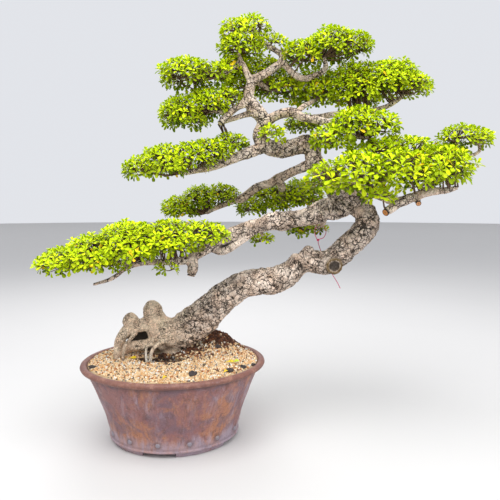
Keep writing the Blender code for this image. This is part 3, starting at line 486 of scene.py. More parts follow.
# Loose grains: the block of places they may lie on, how tightly its rows stand and how far each is
# moved in steps, how far out they lie and how deep into the wood.
GRAIN_REACH = (180, 150)
ROW_STEP = 0.866
GRAIN_JITTER = 0.8
GRAIN_EDGE = 0.985
GRAIN_IN_WOOD = -1
# A grain: the least size and what chance adds, what humus adds, its corners' reach, how far each side
# is stretched, how far each corner is moved, and how far it stands out of the bed.
GRAIN_SIZES = (0.7, 0.75)
HUMUS_LARGER = 0.5
CORNER_REACH = 0.62
GRAIN_STRETCH = (0.75, 0.5)
CORNER_JITTER = 0.42
GRAIN_LIFT = 0.55
# A grain's painted shade under the trunk: the least share and what chance adds.
GRAIN_SHADE = (0.3, 0.7)
SHARP_GRAIN = 25
PELLET_ARCS = 14
PELLET_SIDES = 20
# A pellet's lumps and stretch, each the least and what noise or chance adds, its flatness and how far
# its middle stands out of the grit.
PELLET_LUMPS = (0.6, 0.85)
PELLET_STRETCH = (0.8, 0.4)
PELLET_FLAT = (1, 1, 0.72)
PELLET_LIFT = 0.35
# Feed pellets on the grit: x, y and radius.
PELLETS = (
    (-149, -60, 5.6), (49, -112, 6.2), (54, -108, 4), (116, -85, 6.4), (142, -60, 5.2), (161, -40, 4.4),
    (90, -2, 5.6), (60, 96, 4.8), (-70, 84, 4.4), (-128, 34, 4), (-52, -92, 3.4),
)
# Leaves that have dropped on the grit: x, y, turn in degrees and how yellow they are.
DROPPED_LEAVES = (
    (-85, -42, 20, 0.8), (-1, -136, 75, 1.0), (107, -57, 10, 0.8), (105, -101, 60, 1.0),
    (120, -55, 35, 0.15), (-40, 100, 200, 0.9), (30, 118, 130, 0.6), (-120, 20, 80, 0.9),
    (132, 48, 250, 0.3),
)
# A dropped leaf's length, its height over the grit, the rise of its tip and its upper side.
DROPPED_LENGTH = 17
DROPPED_LIFT = 4.2
DROPPED_TILT = 0.18
DROPPED_UPPER = np.array((0, -0.5, 1.0))

# The pot is an oval: every ring is this much shallower than it is long.
POT_OVAL = 0.845
POT_TURN = math.radians(4)
POT_SECTORS = 176
# Length of a step along the smoothed section.
POT_STEP = 3.2
# Half length and height of the section, from the underside out, up, over the lip and down inside.
POT_SECTION = (
    (0, 10), (60, 10), (109, 10), (112.5, 8.6), (114.6, 2), (116, 0.3), (119.5, 0), (123, 0.2),
    (124.2, 1.6), (124.6, 5), (125.2, 7.4), (127, 8.5), (129.6, 9), (131.2, 10.2), (131.5, 12),
    (130.9, 13.8), (129.9, 14.9), (129.6, 16.6), (130.2, 20), (131.3, 25.5), (134.8, 40), (139, 57),
    (145, 75), (152, 95), (159.5, 114), (166, 129), (168.7, 136.6), (169.5, 140.6), (171, 143.6),
    (174.8, 145.4), (180.2, 147), (183.8, 149.2), (185.2, 152), (184.2, 154.9), (181, 157.4), (177, 158.2),
    (173.4, 157.2), (171.2, 154), (168, 144), (150, 88), (128, 38), (119, 22.4), (100, 22), (50, 22),
    (0, 22),
)
POT_WOBBLE = 0.5
# How the wall's wobble changes with height, and where it sets in and is full.
WOBBLE_RISE = 60
WOBBLE_REACH = (20, 100)
# Grooves painted dark as shade, each a bell curve: the height, the width, and the reach inside which they
# lie.
UNDER_LIP = (142.6, 2.2, 165, 175)
ABOVE_FOOT = (15.6, 1.3, 125, math.inf)
FOOT_GROOVE_SHARE = 0.7
# The ring of painted shade round a stud: its reach from the stud's middle, its width and its strength.
STUD_HALO = (6, 3)
STUD_HALO_SHARE = 0.7
SHARP_POT = 50
# The drain holes' radius, the height that they are cut to and their distance from the middle.
DRAIN_RADIUS = 13
DRAIN_TOP = 30
DRAIN_OFFSET = 62
DRAIN_SIDES = 40
# How far each cut runs on past the underside.
CUT_PAST = 4
# Two slots cut the foot ring into four feet: their height, widths and length, and their turn.
FOOT_SLOT_HEIGHT = 8
FOOT_SLOT_FRONT = 64
FOOT_SLOT_SIDE = 82
FOOT_SLOT_LENGTH = 320
FOOT_TURN = math.radians(-8.5)
# The studs: how many, their ring's half length and height, and where the first one is.
STUD_COUNT = 14
STUD_RING = (131.4, 26)
STUD_PHASE = 0.1
STUD_SIDES = 20
STUD_PROFILE = ((4.4, -3), (4.5, 0.2), (4.2, 0.8), (3.4, 1.5), (2.2, 2.0), (1.0, 2.2))

# The thin string: over the twig, through its knot, and down to its loose end.
STRING_ROUTE = (
    (290, -1, 399.2), (287.2, -0.6, 406), (285, 0, 413), (287, 4, 426), (295.3, 11.6, 432.9),
    (304, 15, 428), (309, 11, 417), (303, 3, 405), (293, -0.2, 401.4), (292.4, 4, 394), (296, 14, 386),
    (303, 26, 370), (312, 29, 350), (322, 26, 332), (333, 18, 314), (340, 14, 300),
)
STRING_KNOT_AT = (291.4, -0.8, 400.2)
STRING_SIDES = 10
STRING_STEP = 1.2
# The knot is a small oval coil, and KNOT_RISE is how far each turn of it climbs.
KNOT_TURNS = 3
KNOT_RADIUS = 2.0
KNOT_STRAND = 0.75
KNOT_POINTS = 60
KNOT_OVAL = 0.9
KNOT_RISE = 1.35
KNOT_FACING = (0.25, 0.1, 1)

# The camera stands before and right of the pot's middle and looks along +Y, a little down. Its lens is
# as long as its sensor is wide.
CAMERA_AT = (0.155, -1.0, 0.468)
CAMERA_PITCH = math.atan(44 / 500)
CAMERA_LENS = 36
# The lamps: where they stand, their size in metres and their share of the power.
LAMPS = {
    "overhead_lamp": ((-0.3, -0.9, 2.2), 1.8, 1.0),
    "side_lamp": ((1.6, -1.2, 1.4), 1.4, 0.3),
    "back_lamp": ((-0.4, 1.6, 1.9), 1.4, 0.35),
}
LAMP_TARGET = (0.15, 0.0, 0.4)
SKY_COLOUR = (0.93, 0.95, 1.0, 1.0)
# Heights of the floor's underside and top, and how dark it is where its colour drifts.
FLOOR_DEPTHS = (-0.6, -0.1)
FLOOR_SIDES = 96
FLOOR_DRIFT = 0.97

# Clouds in the materials: the noise's scale, detail and roughness, the range of it that is used and
# what that range becomes.
CLOUDS = {
    "bark_patch": (34, 5, 0.65, 0.38, 0.6, 0, 1),
    "bark_warm": (75, 4, 0.6, 0.5, 0.7, 0, 0.5),
    "bark_grain": (380, 6, 0.7, 0.32, 0.66, 0.64, 1.18),
    "root_mottle": (60, 4, 0.6, 0.35, 0.65, 0, 1),
    "net_breaks": (52, 3, 0.55, 0.4, 0.58, 0.05, 0.95),
    "bark_fleck": (310, 5, 0.78, 0.58, 0.68, 0, 0.7),
    "crack_fading": (38, 3, 0.55, 0.36, 0.5, 0.3, 1),
    "sawn_gloss": (200, 4, 0.55, 0, 1, 0.55, 0.8),
    "leaf_drift": (22, 3, 0.55, 0.3, 0.7, 0.9, 1.12),
    "leaf_gloss": (300, 2, 0.55, 0.3, 0.7, 0.5, 0.65),
    "twig_speck": (240, 4, 0.7, 0.45, 0.7, 0, 1),
    "grain_mottle": (700, 4, 0.7, 0.3, 0.7, 0.78, 1.12),
    "pellet_mottle": (300, 5, 0.7, 0.45, 0.7, 0, 1),
    "dropped_spots": (500, 3, 0.55, 0.58, 0.68, 0, 1),
    "dropped_gloss": (90, 4, 0.55, 0, 1, 0.35, 0.6),
    "lip_rubs": (55, 6, 0.65, 0.47, 0.7, 0, 0.6),
    "clay_fleck": (230, 5, 0.75, 0.5, 0.72, 0, 0.5),
    "clay_dust": (330, 4, 0.7, 0.54, 0.72, 0, 0.25),
    "clay_gloss": (34, 5, 0.6, 0.3, 0.7, 0.4, 0.62),
    "screen_dust": (160, 4, 0.55, 0.5, 0.75, 0, 1),
    "string_fading": (90, 4, 0.55, 0.35, 0.75, 0, 0.35),
    "floor_gloss": (8, 4, 0.55, 0, 1, 0.85, 0.95),
}
# Noises that a material uses as they are: scale, detail, roughness, stretch along Z and distortion.
GRAINS = {
    "bark_fine": (260, 8, 0.7, 1.0, 0.0),
    "grit_fine": (900, 5, 0.7, 1.0, 0.0),
    "clay_fine": (120, 7, 0.65, 1.0, 0.0),
    "rust": (19, 7, 0.66, 0.7, 0.7),
    "murk": (24, 6, 0.62, 1.0, 1.2),
    "brushing": (95, 6, 0.7, 0.35, 0.8),
    "streaks": (42, 7, 0.7, 0.16, 0.6),
    "scratches": (60, 3, 0.6, 6.0, 0.4),
    "screen_fine": (600, 4, 0.55, 1.0, 0.0),
    "floor_drift": (3, 4, 0.55, 1.0, 0.0),
}
# How a material turns one number into another: the range that is used and what it becomes.
RANGES = {
    "bark_tone": (0, 1, 0.84, 1.14),
    "root_cracks": (0, 1, 1, 0.6),
    "crack_share": (0.25, 0.9, 0, 0.95),
    "crack_gloss": (0, 1, 0.8, 0.95),
    "sawn_rings": (-1, 1, 0.75, 1.1),
    "sawn_rim": (0.72, 1, 0, 1),
    "sawn_core": (0.3, 0, 0, 1),
    "young_share": (0.35, 0.95, 0, 1),
    "leaf_light": (0.2, 0.88, 0, 1),
    "turning_share": (0.985, 0.99, 0, 1),
    "leaf_rib": (0.05, 0, 0, 1),
    "twig_gloss": (0, 1, 0.7, 0.85),
    "pale_grains": (0.2, 0.62, 0, 1),
    "rusty_grains": (0.19, 0.1, 0, 1),
    "grey_grains": (0.06, 0.03, 0, 1),
    "white_grains": (0.8, 0.86, 0, 1),
    "dark_grains": (0.955, 0.96, 0, 1),
    "red_humus": (0.55, 0.8, 0, 1),
    "grit_gloss": (0, 1, 0.75, 0.95),
    "pellet_gloss": (0, 1, 0.6, 0.9),
    "rust_low": (0.09, 0.045, 0, 0.09),
    "rust_share": (0.5, 0.66, 0, 0.85),
    "murk_share": (0.46, 0.62, 0, 0.7),
    "brushed_share": (0.5, 0.62, 0, 0.5),
    "bloom_low": (0.05, 0.02, 0, 0.2),
    "bloom_high": (0.1, 0.146, 0, -0.06),
    "bloom_share": (0.46, 0.76, 0, 1),
    "lip": (0.1425, 0.1455, 0, 1),
    "scuff_share": (0.66, 0.76, 0, 0.4),
    "screen_gloss": (0, 1, 0.4, 0.8),
    "string_twist": (0, 1, 0.7, 1.1),
    "string_gloss": (0, 1, 0.35, 0.6),
}
COLOURS = {
    "warm_plates": (0.54, 0.36, 0.25), "pale_roots": (0.88, 0.72, 0.53), "bare_root": (0.95, 0.9, 0.8),
    "wound_ring": (0.16, 0.1, 0.03), "sawn_core": (0.16, 0.06, 0.025), "lenticels": (0.26, 0.17, 0.1),
    "rusty_grains": (0.5, 0.19, 0.06), "grey_grains": (0.3, 0.26, 0.23), "white_grains": (0.95, 0.91, 0.84),
    "dark_grains": (0.13, 0.1, 0.08), "red_humus": (0.26, 0.1, 0.045), "sunk": (0.02, 0.014, 0.01),
    "pellet_dust": (0.12, 0.09, 0.075), "leaf_spots": (0.2, 0.08, 0.03), "murk": (0.17, 0.11, 0.14),
    "brushing": (0.12, 0.06, 0.055), "lip": (0.19, 0.078, 0.055), "worn_lip": (0.4, 0.21, 0.15),
    "scuffs": (0.66, 0.54, 0.54), "clay_flecks": (0.1, 0.06, 0.06), "clay_dust": (0.55, 0.42, 0.4),
    "groove": (0.05, 0.032, 0.034), "studs": (0.24, 0.24, 0.28), "screen": (0.02, 0.02, 0.022),
    "screen_dust": (0.14, 0.1, 0.07), "faded_string": (0.85, 0.3, 0.4),
}
# How strongly each mark shows in its material.
SHARES = {
    "roots": 0.8, "bare_root": 0.85, "wound_ring": 0.95, "crack_relief": 0.9, "rib": 0.35, "bloom": 0.68,
    "lip": 0.8, "groove": 0.7, "stud": 0.75, "scratch_relief": 0.8,
}
# Bumps: height in metres and strength.
BUMPS = {
    "bark": (0.0013, 0.9), "sawn": (0.0003, 1.0), "leaf": (0.0001, 0.5), "twig": (0.0004, 1.0),
    "grit": (0.0005, 1.0), "pellet": (0.0008, 1.0), "clay": (0.0011, 0.65), "screen": (0.0002, 1.0),
    "string": (0.0002, 1.0),
}
# Nets of lines: scale, width of a line, and the scale and reach of the noise that bends them.
NETS = {"fine": (220, 0.1, 120, 0.006), "wide": (88, 0.08, 95, 0.013)}
NET_CORE = 0.02
WARP_DETAIL = 3.0
# How much light each skin throws back.
SPECULAR = {"bark": 0.2, "leaf": 0.08, "stoneware": 0.4}
SAWN_RINGS = 30.0
VEIN_WAVE = {"Scale": 160.0, "Distortion": 3.0}
TWIST_WAVE = {"Scale": 420.0, "Distortion": 2.0}


def smooth_step(low, high, value):
    """0 below low and 1 above high, with the curve 3t squared less 2t cubed in between."""
    t = np.clip((value - low) / (high - low), 0, 1)
    return t * t * (3 - 2 * t)


def bell(value, fall):
    """A bell curve: e to the power of the value squared times the fall, below zero."""
    return np.exp(-fall * value**2)


def turns(sides):
    """The angles of so many points spread evenly round a circle."""
    return 2 * math.pi * np.arange(sides) / sides


def either_way(chance, *shape):
    """Random numbers from -0.5 to 0.5."""
    return chance.random(shape) - 0.5


def spun(x, y, turn):
    """Places turned about the origin."""
    cosine, sine = np.cos(turn), np.sin(turn)
    return x * cosine - y * sine, x * sine + y * cosine


def units(vectors):
    """Each row scaled to length one."""
    return vectors / np.maximum(np.linalg.norm(vectors, axis=-1, keepdims=True), TINY)


def random_table(seed, numbers):
    """Random numbers from 0 to 1 for each cell of a block of cubes that repeats in every direction."""
    return np.random.default_rng(seed).random((TABLE_CELLS, TABLE_CELLS, TABLE_CELLS, numbers))


def soft_noise(points, size, seed):
    """Value noise from 0 to 1: random numbers at the corners of a grid of cubes, blended across each
    cube by 3t squared less 2t cubed along each axis."""
    table = random_table(seed, 1)[..., 0]
    home = np.floor(points / size).astype(int)
    part = points / size - home
    part = part * part * (3 - 2 * part)
    total = np.zeros(len(points))
    for corner in itertools.product((0, 1), repeat=3):
        near = (home + corner) % TABLE_CELLS
        share = np.prod(np.where(corner, part, 1 - part), axis=1)
        total += share * table[near[:, 0], near[:, 1], near[:, 2]]
    return total


def named_noise(points, name, axis=0):
    """The soft noise of this name, or its twin for another axis."""
    size, seed = NOISES[name]
    return soft_noise(points, size, SEED + seed + axis)


def noise_shift(points, name):
    """Three soft noises from -0.5 to 0.5, one for each axis."""
    return np.column_stack([named_noise(points, name, axis) for axis in range(3)]) - 0.5


def flat_noise(x, y, name):
    """The soft noise of this name over a plane."""
    return named_noise(np.column_stack([x, y, np.zeros(len(x))]), name)


def cell_pattern(points, size, seed):
    """Each cube of a grid holds one seed at a random place. Returns how much further the second
    nearest seed is than the nearest, in the units of size, and the nearest seed's random number."""
    table = random_table(seed, 4)
    scaled = points / size
    home = np.floor(scaled).astype(int)
    first = np.full(len(points), np.inf)
    second = first.copy()
    tone = np.zeros(len(points))
    for step in itertools.product((-1, 0, 1), repeat=3):
        near = (home + step) % TABLE_CELLS
        stored = table[near[:, 0], near[:, 1], near[:, 2]]
        distance = np.linalg.norm(home + step + stored[:, :3] - scaled, axis=1)
        closer = distance < first
        second = np.where(closer, first, np.minimum(second, distance))
        tone = np.where(closer, stored[:, 3], tone)
        first = np.where(closer, distance, first)
    return (second - first) * size, tone


def smooth_route(stations, step):
    """Points about one step apart on the Catmull-Rom curve through the stations."""
    stations = np.asarray(stations, float)
    padded = np.vstack([2 * stations[0] - stations[1], stations, 2 * stations[-1] - stations[-2]])
    spans = []
    for before, start, end, after in zip(padded, padded[1:], padded[2:], padded[3:]):
        count = max(1, round(float(np.linalg.norm(end[:3] - start[:3])) / step))
        t = np.arange(count)[:, None] / count
        spans.append(0.5 * (
            2 * start
            + (end - before) * t
            + (2 * before - 5 * start + 4 * end - after) * t**2
            + (3 * start - before - 3 * end + after) * t**3
        ))
    return np.vstack([*spans, stations[-1:]])


def route_length(route):
    """Length along a route up to each of its points."""
    return np.concatenate([[0.0], np.cumsum(np.linalg.norm(np.diff(route[:, :3], axis=0), axis=1))])


def ring_faces(rings, sides):
    """Quads between rings of points, closed round each ring, facing out where the rings turn left."""
    low = np.arange(rings - 1)[:, None] * sides + np.arange(sides)
    following = np.arange(rings - 1)[:, None] * sides + (np.arange(sides) + 1) % sides
    return np.stack([low, following, following + sides, low + sides], axis=-1).reshape(-1, 4)


def capped(points, rings, sides):
    """A surface of rings with a fan to a middle point at each end, as triangles."""
    quads = ring_faces(rings, sides)
    first = points[:sides].mean(axis=0)
    last = points[-sides:].mean(axis=0)
    start, end = len(points), len(points) + 1
    side = np.arange(sides)
    following = (side + 1) % sides
    top = (rings - 1) * sides
    faces = np.vstack([
        quads[:, [0, 1, 2]],
        quads[:, [0, 2, 3]],
        np.column_stack([np.full(sides, start), following, side]),
        np.column_stack([np.full(sides, end), top + side, top + following]),
    ])
    return np.vstack([points, first, last]), faces


def tube(centres, radii):
    """Rings carried along the centres without twist. radii is the distance from the centre for each
    point of each ring, one row a ring."""
    along = units(np.gradient(centres, axis=0))
    across = np.cross(along[0], (0.0, 1.0, 0.0) if abs(along[0][1]) < MOSTLY_Y else (1.0, 0.0, 0.0))
    rings, sides = radii.shape
    turn = turns(sides)
    points = []
    for centre, direction, radius in zip(centres, along, radii):
        across = units(across - np.dot(across, direction) * direction)
        upright = np.cross(direction, across)
        points.append(
            centre + radius[:, None] * (np.cos(turn)[:, None] * across + np.sin(turn)[:, None] * upright)
        )
    return capped(np.vstack(points), rings, sides)


def limb(stations):
    """One limb: a round tube whose radius swells by a sine of the angle and of the length along it."""
    route = smooth_route(stations, LIMB_STEP)
    length = route_length(route)[:, None]
    turn = turns(LIMB_SIDES)
    swell = FLUTE * np.sin(2 * turn + length / FLUTE_WAVE)
    knots = KNOT * np.sin(3 * turn - length / KNOT_WAVE)
    return tube(route[:, :3], route[:, 3:] * (1 + swell + knots))


def turned(profile, sides):
    """A profile of radius and height carried round the Z axis and closed at both ends."""
    turn = turns(sides)
    profile = np.asarray(profile, float)
    points = np.stack([
        profile[:, :1] * np.cos(turn),
        profile[:, :1] * np.sin(turn),
        np.repeat(profile[:, 1:], sides, axis=1),
    ], axis=-1).reshape(-1, 3)
    return capped(points, len(profile), sides)


def aimed(shape, at, facing):
    """A shape made about +Z at the origin, turned to face a direction and put in its place."""
    points, faces = shape
    turn = np.array(Vector(facing).to_track_quat("Z", "Y").to_matrix())
    return points @ turn.T + np.asarray(at, float), faces


def joined(shapes):
    """Several shapes as one set of points and faces."""
    counts = np.cumsum([0] + [len(points) for points, _ in shapes])
    return (
        np.vstack([points for points, _ in shapes]),
        np.vstack([faces + start for (_, faces), start in zip(shapes, counts)]),
    )


def set_points(mesh, points):
    """Moves a mesh's points to these places in millimetres."""
    mesh.vertices.foreach_set("co", (points * MM + ORIGIN).astype(np.float32).ravel())
    mesh.update()


def new_mesh(name, points, faces):
    """A mesh in the model's frame from points in millimetres and faces with equally many corners."""
    mesh = bpy.data.meshes.new(name)
    corners = faces.shape[1]
    mesh.vertices.add(len(points))
    set_points(mesh, points)
    mesh.loops.add(faces.size)
    mesh.loops.foreach_set("vertex_index", faces.astype(np.int32).ravel())
    mesh.polygons.add(len(faces))
    mesh.polygons.foreach_set("loop_start", np.arange(0, faces.size, corners, dtype=np.int32))
    mesh.update(calc_edges=True)
    mesh.validate()
    return mesh


def mark(mesh, name, values):
    """Stores one number for each point of a mesh, which a material reads by this name."""
    attribute = mesh.attributes.new(name, "FLOAT", "POINT")
    attribute.data.foreach_set("value", np.asarray(values, np.float32))


def points_of(mesh):
    """A mesh's points in millimetres from the middle of the pot's foot."""
    flat = np.empty(len(mesh.vertices) * 3, np.float32)
    mesh.vertices.foreach_get("co", flat)
    return (flat.reshape(-1, 3).astype(float) - ORIGIN) / MM


def in_scene(name, data):
    """A new object of the scene that holds this data."""
    made = bpy.data.objects.new(name, data)
    bpy.context.scene.collection.objects.link(made)
    return made


def piece(name, mesh, finish, stands_for=(), sharp=None):
    """Puts a finished mesh in the scene as a piece that rides on the one body."""
    mesh.materials.append(finish)
    mesh.shade_smooth()
    if sharp is not None:
        mesh.set_sharp_from_angle(angle=math.radians(sharp))
    made = in_scene(name, mesh)
    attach(made, "root")
    if stands_for:
        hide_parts(*stands_for)
    return made


def with_modifier(mesh, kind, **settings):
    """A mesh as one modifier leaves it."""
    holder = in_scene("holder", mesh)
    modifier = holder.modifiers.new(kind.title(), kind)
    for name, value in settings.items():
        setattr(modifier, name, value)
    graph = bpy.context.evaluated_depsgraph_get()
    result = bpy.data.meshes.new_from_object(holder.evaluated_get(graph))
    bpy.data.objects.remove(holder)
    return result


def new_finish(name):
    """A new material with its node tree and its shader."""
    finish = bpy.data.materials.new(name)
    finish.use_nodes = True
    shader = finish.node_tree.nodes["Principled BSDF"]
    if name in SPECULAR:
        shader.inputs["Specular IOR Level"].default_value = SPECULAR[name]
    return finish, finish.node_tree, shader


def feed(tree, socket, value):
    """Links a socket to a value that comes from a node, or sets it to a plain one."""
    if isinstance(value, bpy.types.NodeSocket):
        tree.links.new(value, socket)
    elif socket.type == "RGBA":
        socket.default_value = (*value[:3], 1.0)
    else:
        socket.default_value = value


def node(tree, kind, inputs=None, **settings):
    """A shader node with its settings and its inputs."""
    made = tree.nodes.new("ShaderNode" + kind)
    for name, value in settings.items():
        setattr(made, name, value)
    for name, value in (inputs or {}).items():
        feed(tree, made.inputs[name], value)
    return made


def stored(tree, name):
    """The number that the mesh stores under this name."""
    return node(tree, "Attribute", attribute_name=name, attribute_type="GEOMETRY").outputs["Fac"]


def place(tree):
    """Object coordinates, which are the model's own."""
    return node(tree, "TexCoord").outputs["Object"]


def grain(tree, name):
    """The noise of this name over the object's coordinates, from 0 to 1."""
    scale, detail, roughness, stretch, distortion = GRAINS[name]
    at = node(tree, "Mapping", {"Vector": place(tree), "Scale": (1.0, 1.0, stretch)}).outputs["Vector"]
    return noise(tree, at, scale, detail, roughness, distortion)


def noise(tree, at, scale, detail, roughness, distortion=0.0):
    """Procedural noise from 0 to 1."""
    return node(tree, "TexNoise", {
        "Vector": at, "Scale": scale, "Detail": detail, "Roughness": roughness, "Distortion": distortion,
    }).outputs["Fac"]


def spread(tree, value, low, high, first=0.0, last=1.0):
    """A number carried smoothly from one range to another."""
    return node(tree, "MapRange", {
        "Value": value, "From Min": low, "From Max": high, "To Min": first, "To Max": last,
    }, interpolation_type="SMOOTHSTEP").outputs["Result"]


def ranged(tree, value, name):
    """A number carried from one range to another as the table says."""
    return spread(tree, value, *RANGES[name])


def cloud(tree, name):
    """The cloud of this name."""
    scale, detail, roughness, *range_of = CLOUDS[name]
    return spread(tree, noise(tree, place(tree), scale, detail, roughness), *range_of)


def reckon(tree, operation, *values):
    """Numbers taken together by one operation, from the first on."""
    result = values[0]
    for value in values[1:]:
        made = node(tree, "Math", operation=operation)
        feed(tree, made.inputs[0], result)
        feed(tree, made.inputs[1], value)
        result = made.outputs["Value"]
    return result


def shared(tree, value, name):
    """A mark at the strength that the table gives it."""
    return reckon(tree, "MULTIPLY", value, SHARES[name])


def tinted(tree, share, first, second):
    """Two colours mixed by a share."""
    made = node(tree, "Mix", data_type="RGBA")
    colours = [socket for socket in made.inputs if socket.type == "RGBA"]
    feed(tree, made.inputs["Factor"], share)
    feed(tree, colours[0], first)
    feed(tree, colours[1], second)
    return next(socket for socket in made.outputs if socket.type == "RGBA")


def lightened(tree, colour, value):
    """A colour made lighter or darker."""
    return node(tree, "HueSaturation", {"Color": colour, "Value": value}).outputs["Color"]


def raised(tree, height, name):
    """The bump of this name."""
    distance, strength = BUMPS[name]
    inputs = {"Height": height, "Distance": distance, "Strength": strength}
    return node(tree, "Bump", inputs).outputs["Normal"]


def dress(tree, shader, colour, roughness, normal=None):
    """Links colour, roughness and normal to the shader."""
    tree.links.new(colour, shader.inputs["Base Color"])
    tree.links.new(roughness, shader.inputs["Roughness"])
    if normal:
        tree.links.new(normal, shader.inputs["Normal"])


def net_lines(tree, name):
    """Thin lines between the cells of a Voronoi pattern on bent coordinates: 1 on a line and 0 away."""
    scale, width, warp_scale, reach = NETS[name]
    warp = {"Vector": place(tree), "Scale": warp_scale, "Detail": WARP_DETAIL}
    shift = node(tree, "TexNoise", warp).outputs["Color"]
    centred = node(tree, "VectorMath", {0: shift, 1: (0.5, 0.5, 0.5)}, operation="SUBTRACT").outputs["Vector"]
    moved = node(tree, "VectorMath", {0: centred, "Scale": reach}, operation="SCALE").outputs["Vector"]
    bent = node(tree, "VectorMath", {0: place(tree), 1: moved}, operation="ADD").outputs["Vector"]
    edges = node(tree, "TexVoronoi", {"Vector": bent, "Scale": scale}, feature="DISTANCE_TO_EDGE")
    return spread(tree, edges.outputs["Distance"], width, NET_CORE)


def colour_setting(name, description, default):
    """A colour that can be set in the panel."""
    return bpy.props.FloatVectorProperty(
        name=name, description=description, default=default, subtype="COLOR", size=3, min=0.0, max=1.0,
    )


def length_setting(name, description, default, least, most):
    """A length in metres that can be set in the panel."""
    return bpy.props.FloatProperty(
        name=name, description=description, default=default, min=least, max=most, unit="LENGTH",
    )


def share_setting(name, description, default, least, most):
    """A share that can be set in the panel."""
    return bpy.props.FloatProperty(
        name=name, description=description, default=default, min=least, max=most, subtype="FACTOR",
    )


class WoodSettings(bpy.types.PropertyGroup):
    mesh_step: length_setting("Mesh Step", "Size of the cells of the wood's mesh", 0.00175, 0.0012, 0.01)
    plate_size: length_setting("Plate Size", "Width of a bark plate on the trunk", 0.0115, 0.004, 0.04)
    crack_width: length_setting("Crack Width", "Width of a crack between two plates", 0.0017, 0.0005, 0.01)
    crack_depth: length_setting("Crack Depth", "Depth of a crack on the trunk", 0.0015, 0.0, 0.006)
    kept_share: share_setting("Kept Share", "Share of the wood's triangles that is kept", 0.61, 0.05, 1.0)
    plate_colour: colour_setting("Plate Colour", "Colour of the bark plates", (0.63, 0.475, 0.365))
    pale_colour: colour_setting("Pale Colour", "Colour of weathered plates", (0.84, 0.7, 0.585))
    # Colour deep in the cracks, also used as painted shade in hollows, seams and burl pits.
    crack_and_shade_colour: colour_setting("Crack Colour", "Colour deep in the cracks", (0.028, 0.022, 0.018))
    root_colour: colour_setting("Root Colour", "Colour of the roots and the trunk's foot", (0.74, 0.54, 0.38))
    sawn_colour: colour_setting("Sawn Colour", "Colour of freshly sawn wood", (0.62, 0.25, 0.07))


class LeafSettings(bpy.types.PropertyGroup):
    rosette_spacing: share_setting(
        "Rosette Spacing", "Least distance between two rosettes, in leaf lengths", 0.73, 0.4, 3.0,
    )
    leaves_in_rosette: bpy.props.IntProperty(
        name="Leaves in a Rosette", description="How many leaves grow from one shoot",
        default=8, min=3, max=12,
    )
    young_colour: colour_setting("Young Colour", "Colour of the newest leaves", (0.8, 0.9, 0.015))
    leaf_colour: colour_setting("Leaf Colour", "Colour of most leaves", (0.46, 0.62, 0.008))
    # Painted shade: the colour of dim leaves deep in a pad and on its underside.
    shaded_leaf_colour: colour_setting("Old Colour", "Colour of leaves deep in a pad", (0.06, 0.12, 0.004))
    turning_colour: colour_setting("Turning Colour", "Colour of the leaves about to drop", (0.85, 0.55, 0.02))
    twig_colour: colour_setting("Twig Colour", "Colour of the fine twigs", (0.12, 0.065, 0.035))


class GritSettings(bpy.types.PropertyGroup):
    grain_spacing: length_setting("Grain Spacing", "Distance between the grains on top", 0.0033, 0.002, 0.02)
    grain_radius: length_setting("Grain Radius", "Mean radius of a grain", 0.0017, 0.0005, 0.01)
    pale_colour: colour_setting("Pale Colour", "Colour of the palest grains", (0.95, 0.76, 0.5))
    tan_colour: colour_setting("Tan Colour", "Colour of most grains", (0.84, 0.51, 0.23))
    humus_colour: colour_setting("Humus Colour", "Colour of the soil by the trunk", (0.1, 0.036, 0.017))
    pellet_colour: colour_setting("Pellet Colour", "Colour of the feed pellets", (0.035, 0.028, 0.03))


class PotSettings(bpy.types.PropertyGroup):
    clay_colour: colour_setting("Clay Colour", "Colour of most of the pot", (0.28, 0.125, 0.115))
    rust_colour: colour_setting("Rust Colour", "Colour where the clay is rusty", (0.45, 0.195, 0.1))
    bloom_colour: colour_setting("Bloom Colour", "Colour of the ash bloom on the clay", (0.42, 0.35, 0.42))


class StringSettings(bpy.types.PropertyGroup):
    diameter: length_setting("Diameter", "Thickness of the string", 0.0014, 0.0005, 0.005)
    length: length_setting("Length", "Length of the string from its knot to its loose end", 0.219, 0.05, 1.0)
    colour: colour_setting("Colour", "Colour of the string", (0.72, 0.03, 0.14))


class StageSettings(bpy.types.PropertyGroup):
    floor_reach: length_setting("Floor Reach", "Radius of the floor", 14.0, 1.0, 100.0)
    floor_colour: colour_setting("Floor Colour", "Colour of the floor", (0.63, 0.62, 0.61))
    sky_strength: bpy.props.FloatProperty(
        name="Sky Strength", description="Strength of the even light from all round",
        default=0.82, min=0.0, max=10.0,
    )
    lamp_power: bpy.props.FloatProperty(
        name="Lamp Power", description="Power of the large lamp above the camera",
        default=49.0, min=0.0, max=1000.0, unit="POWER",
    )


def limb_points(without=None):
    """The middles and radii of all limbs but one, close together along each."""
    routes = [smooth_route(stations, LIMB_STEP) for name, stations in LIMBS.items() if name != without]
    return np.vstack(routes)


def nearest_limb(points, wood):
    """For each point, its distance from the nearest limb's surface and that limb's radius there."""
    gap = np.empty(len(points))
    girth = np.empty(len(points))
    for start in range(0, len(points), BATCH):
        batch = slice(start, start + BATCH)
        distance = np.linalg.norm(points[batch][:, None] - wood[None, :, :3], axis=2) - wood[:, 3]
        nearest = distance.argmin(axis=1)
        gap[batch] = distance[np.arange(len(nearest)), nearest]
        girth[batch] = wood[nearest, 3]
    return gap, girth


def smoothed(points, edges, rounds, pull):
    """Moves each point part of the way to the mean of its neighbours, several times over."""
    count = np.bincount(edges.ravel(), minlength=len(points))[:, None]
    for _ in range(rounds):
        total = np.column_stack([
            np.bincount(edges[:, 0], points[edges[:, 1], axis], len(points))
            + np.bincount(edges[:, 1], points[edges[:, 0], axis], len(points))
            for axis in range(3)
        ])
        points = points + pull * (total / count - points)
    return points


def normals_of(mesh):
    """The direction in which each point of a mesh faces out."""
    flat = np.empty(len(mesh.vertices) * 3, np.float32)
    mesh.vertex_normals.foreach_get("vector", flat)
    return flat.reshape(-1, 3).astype(float)


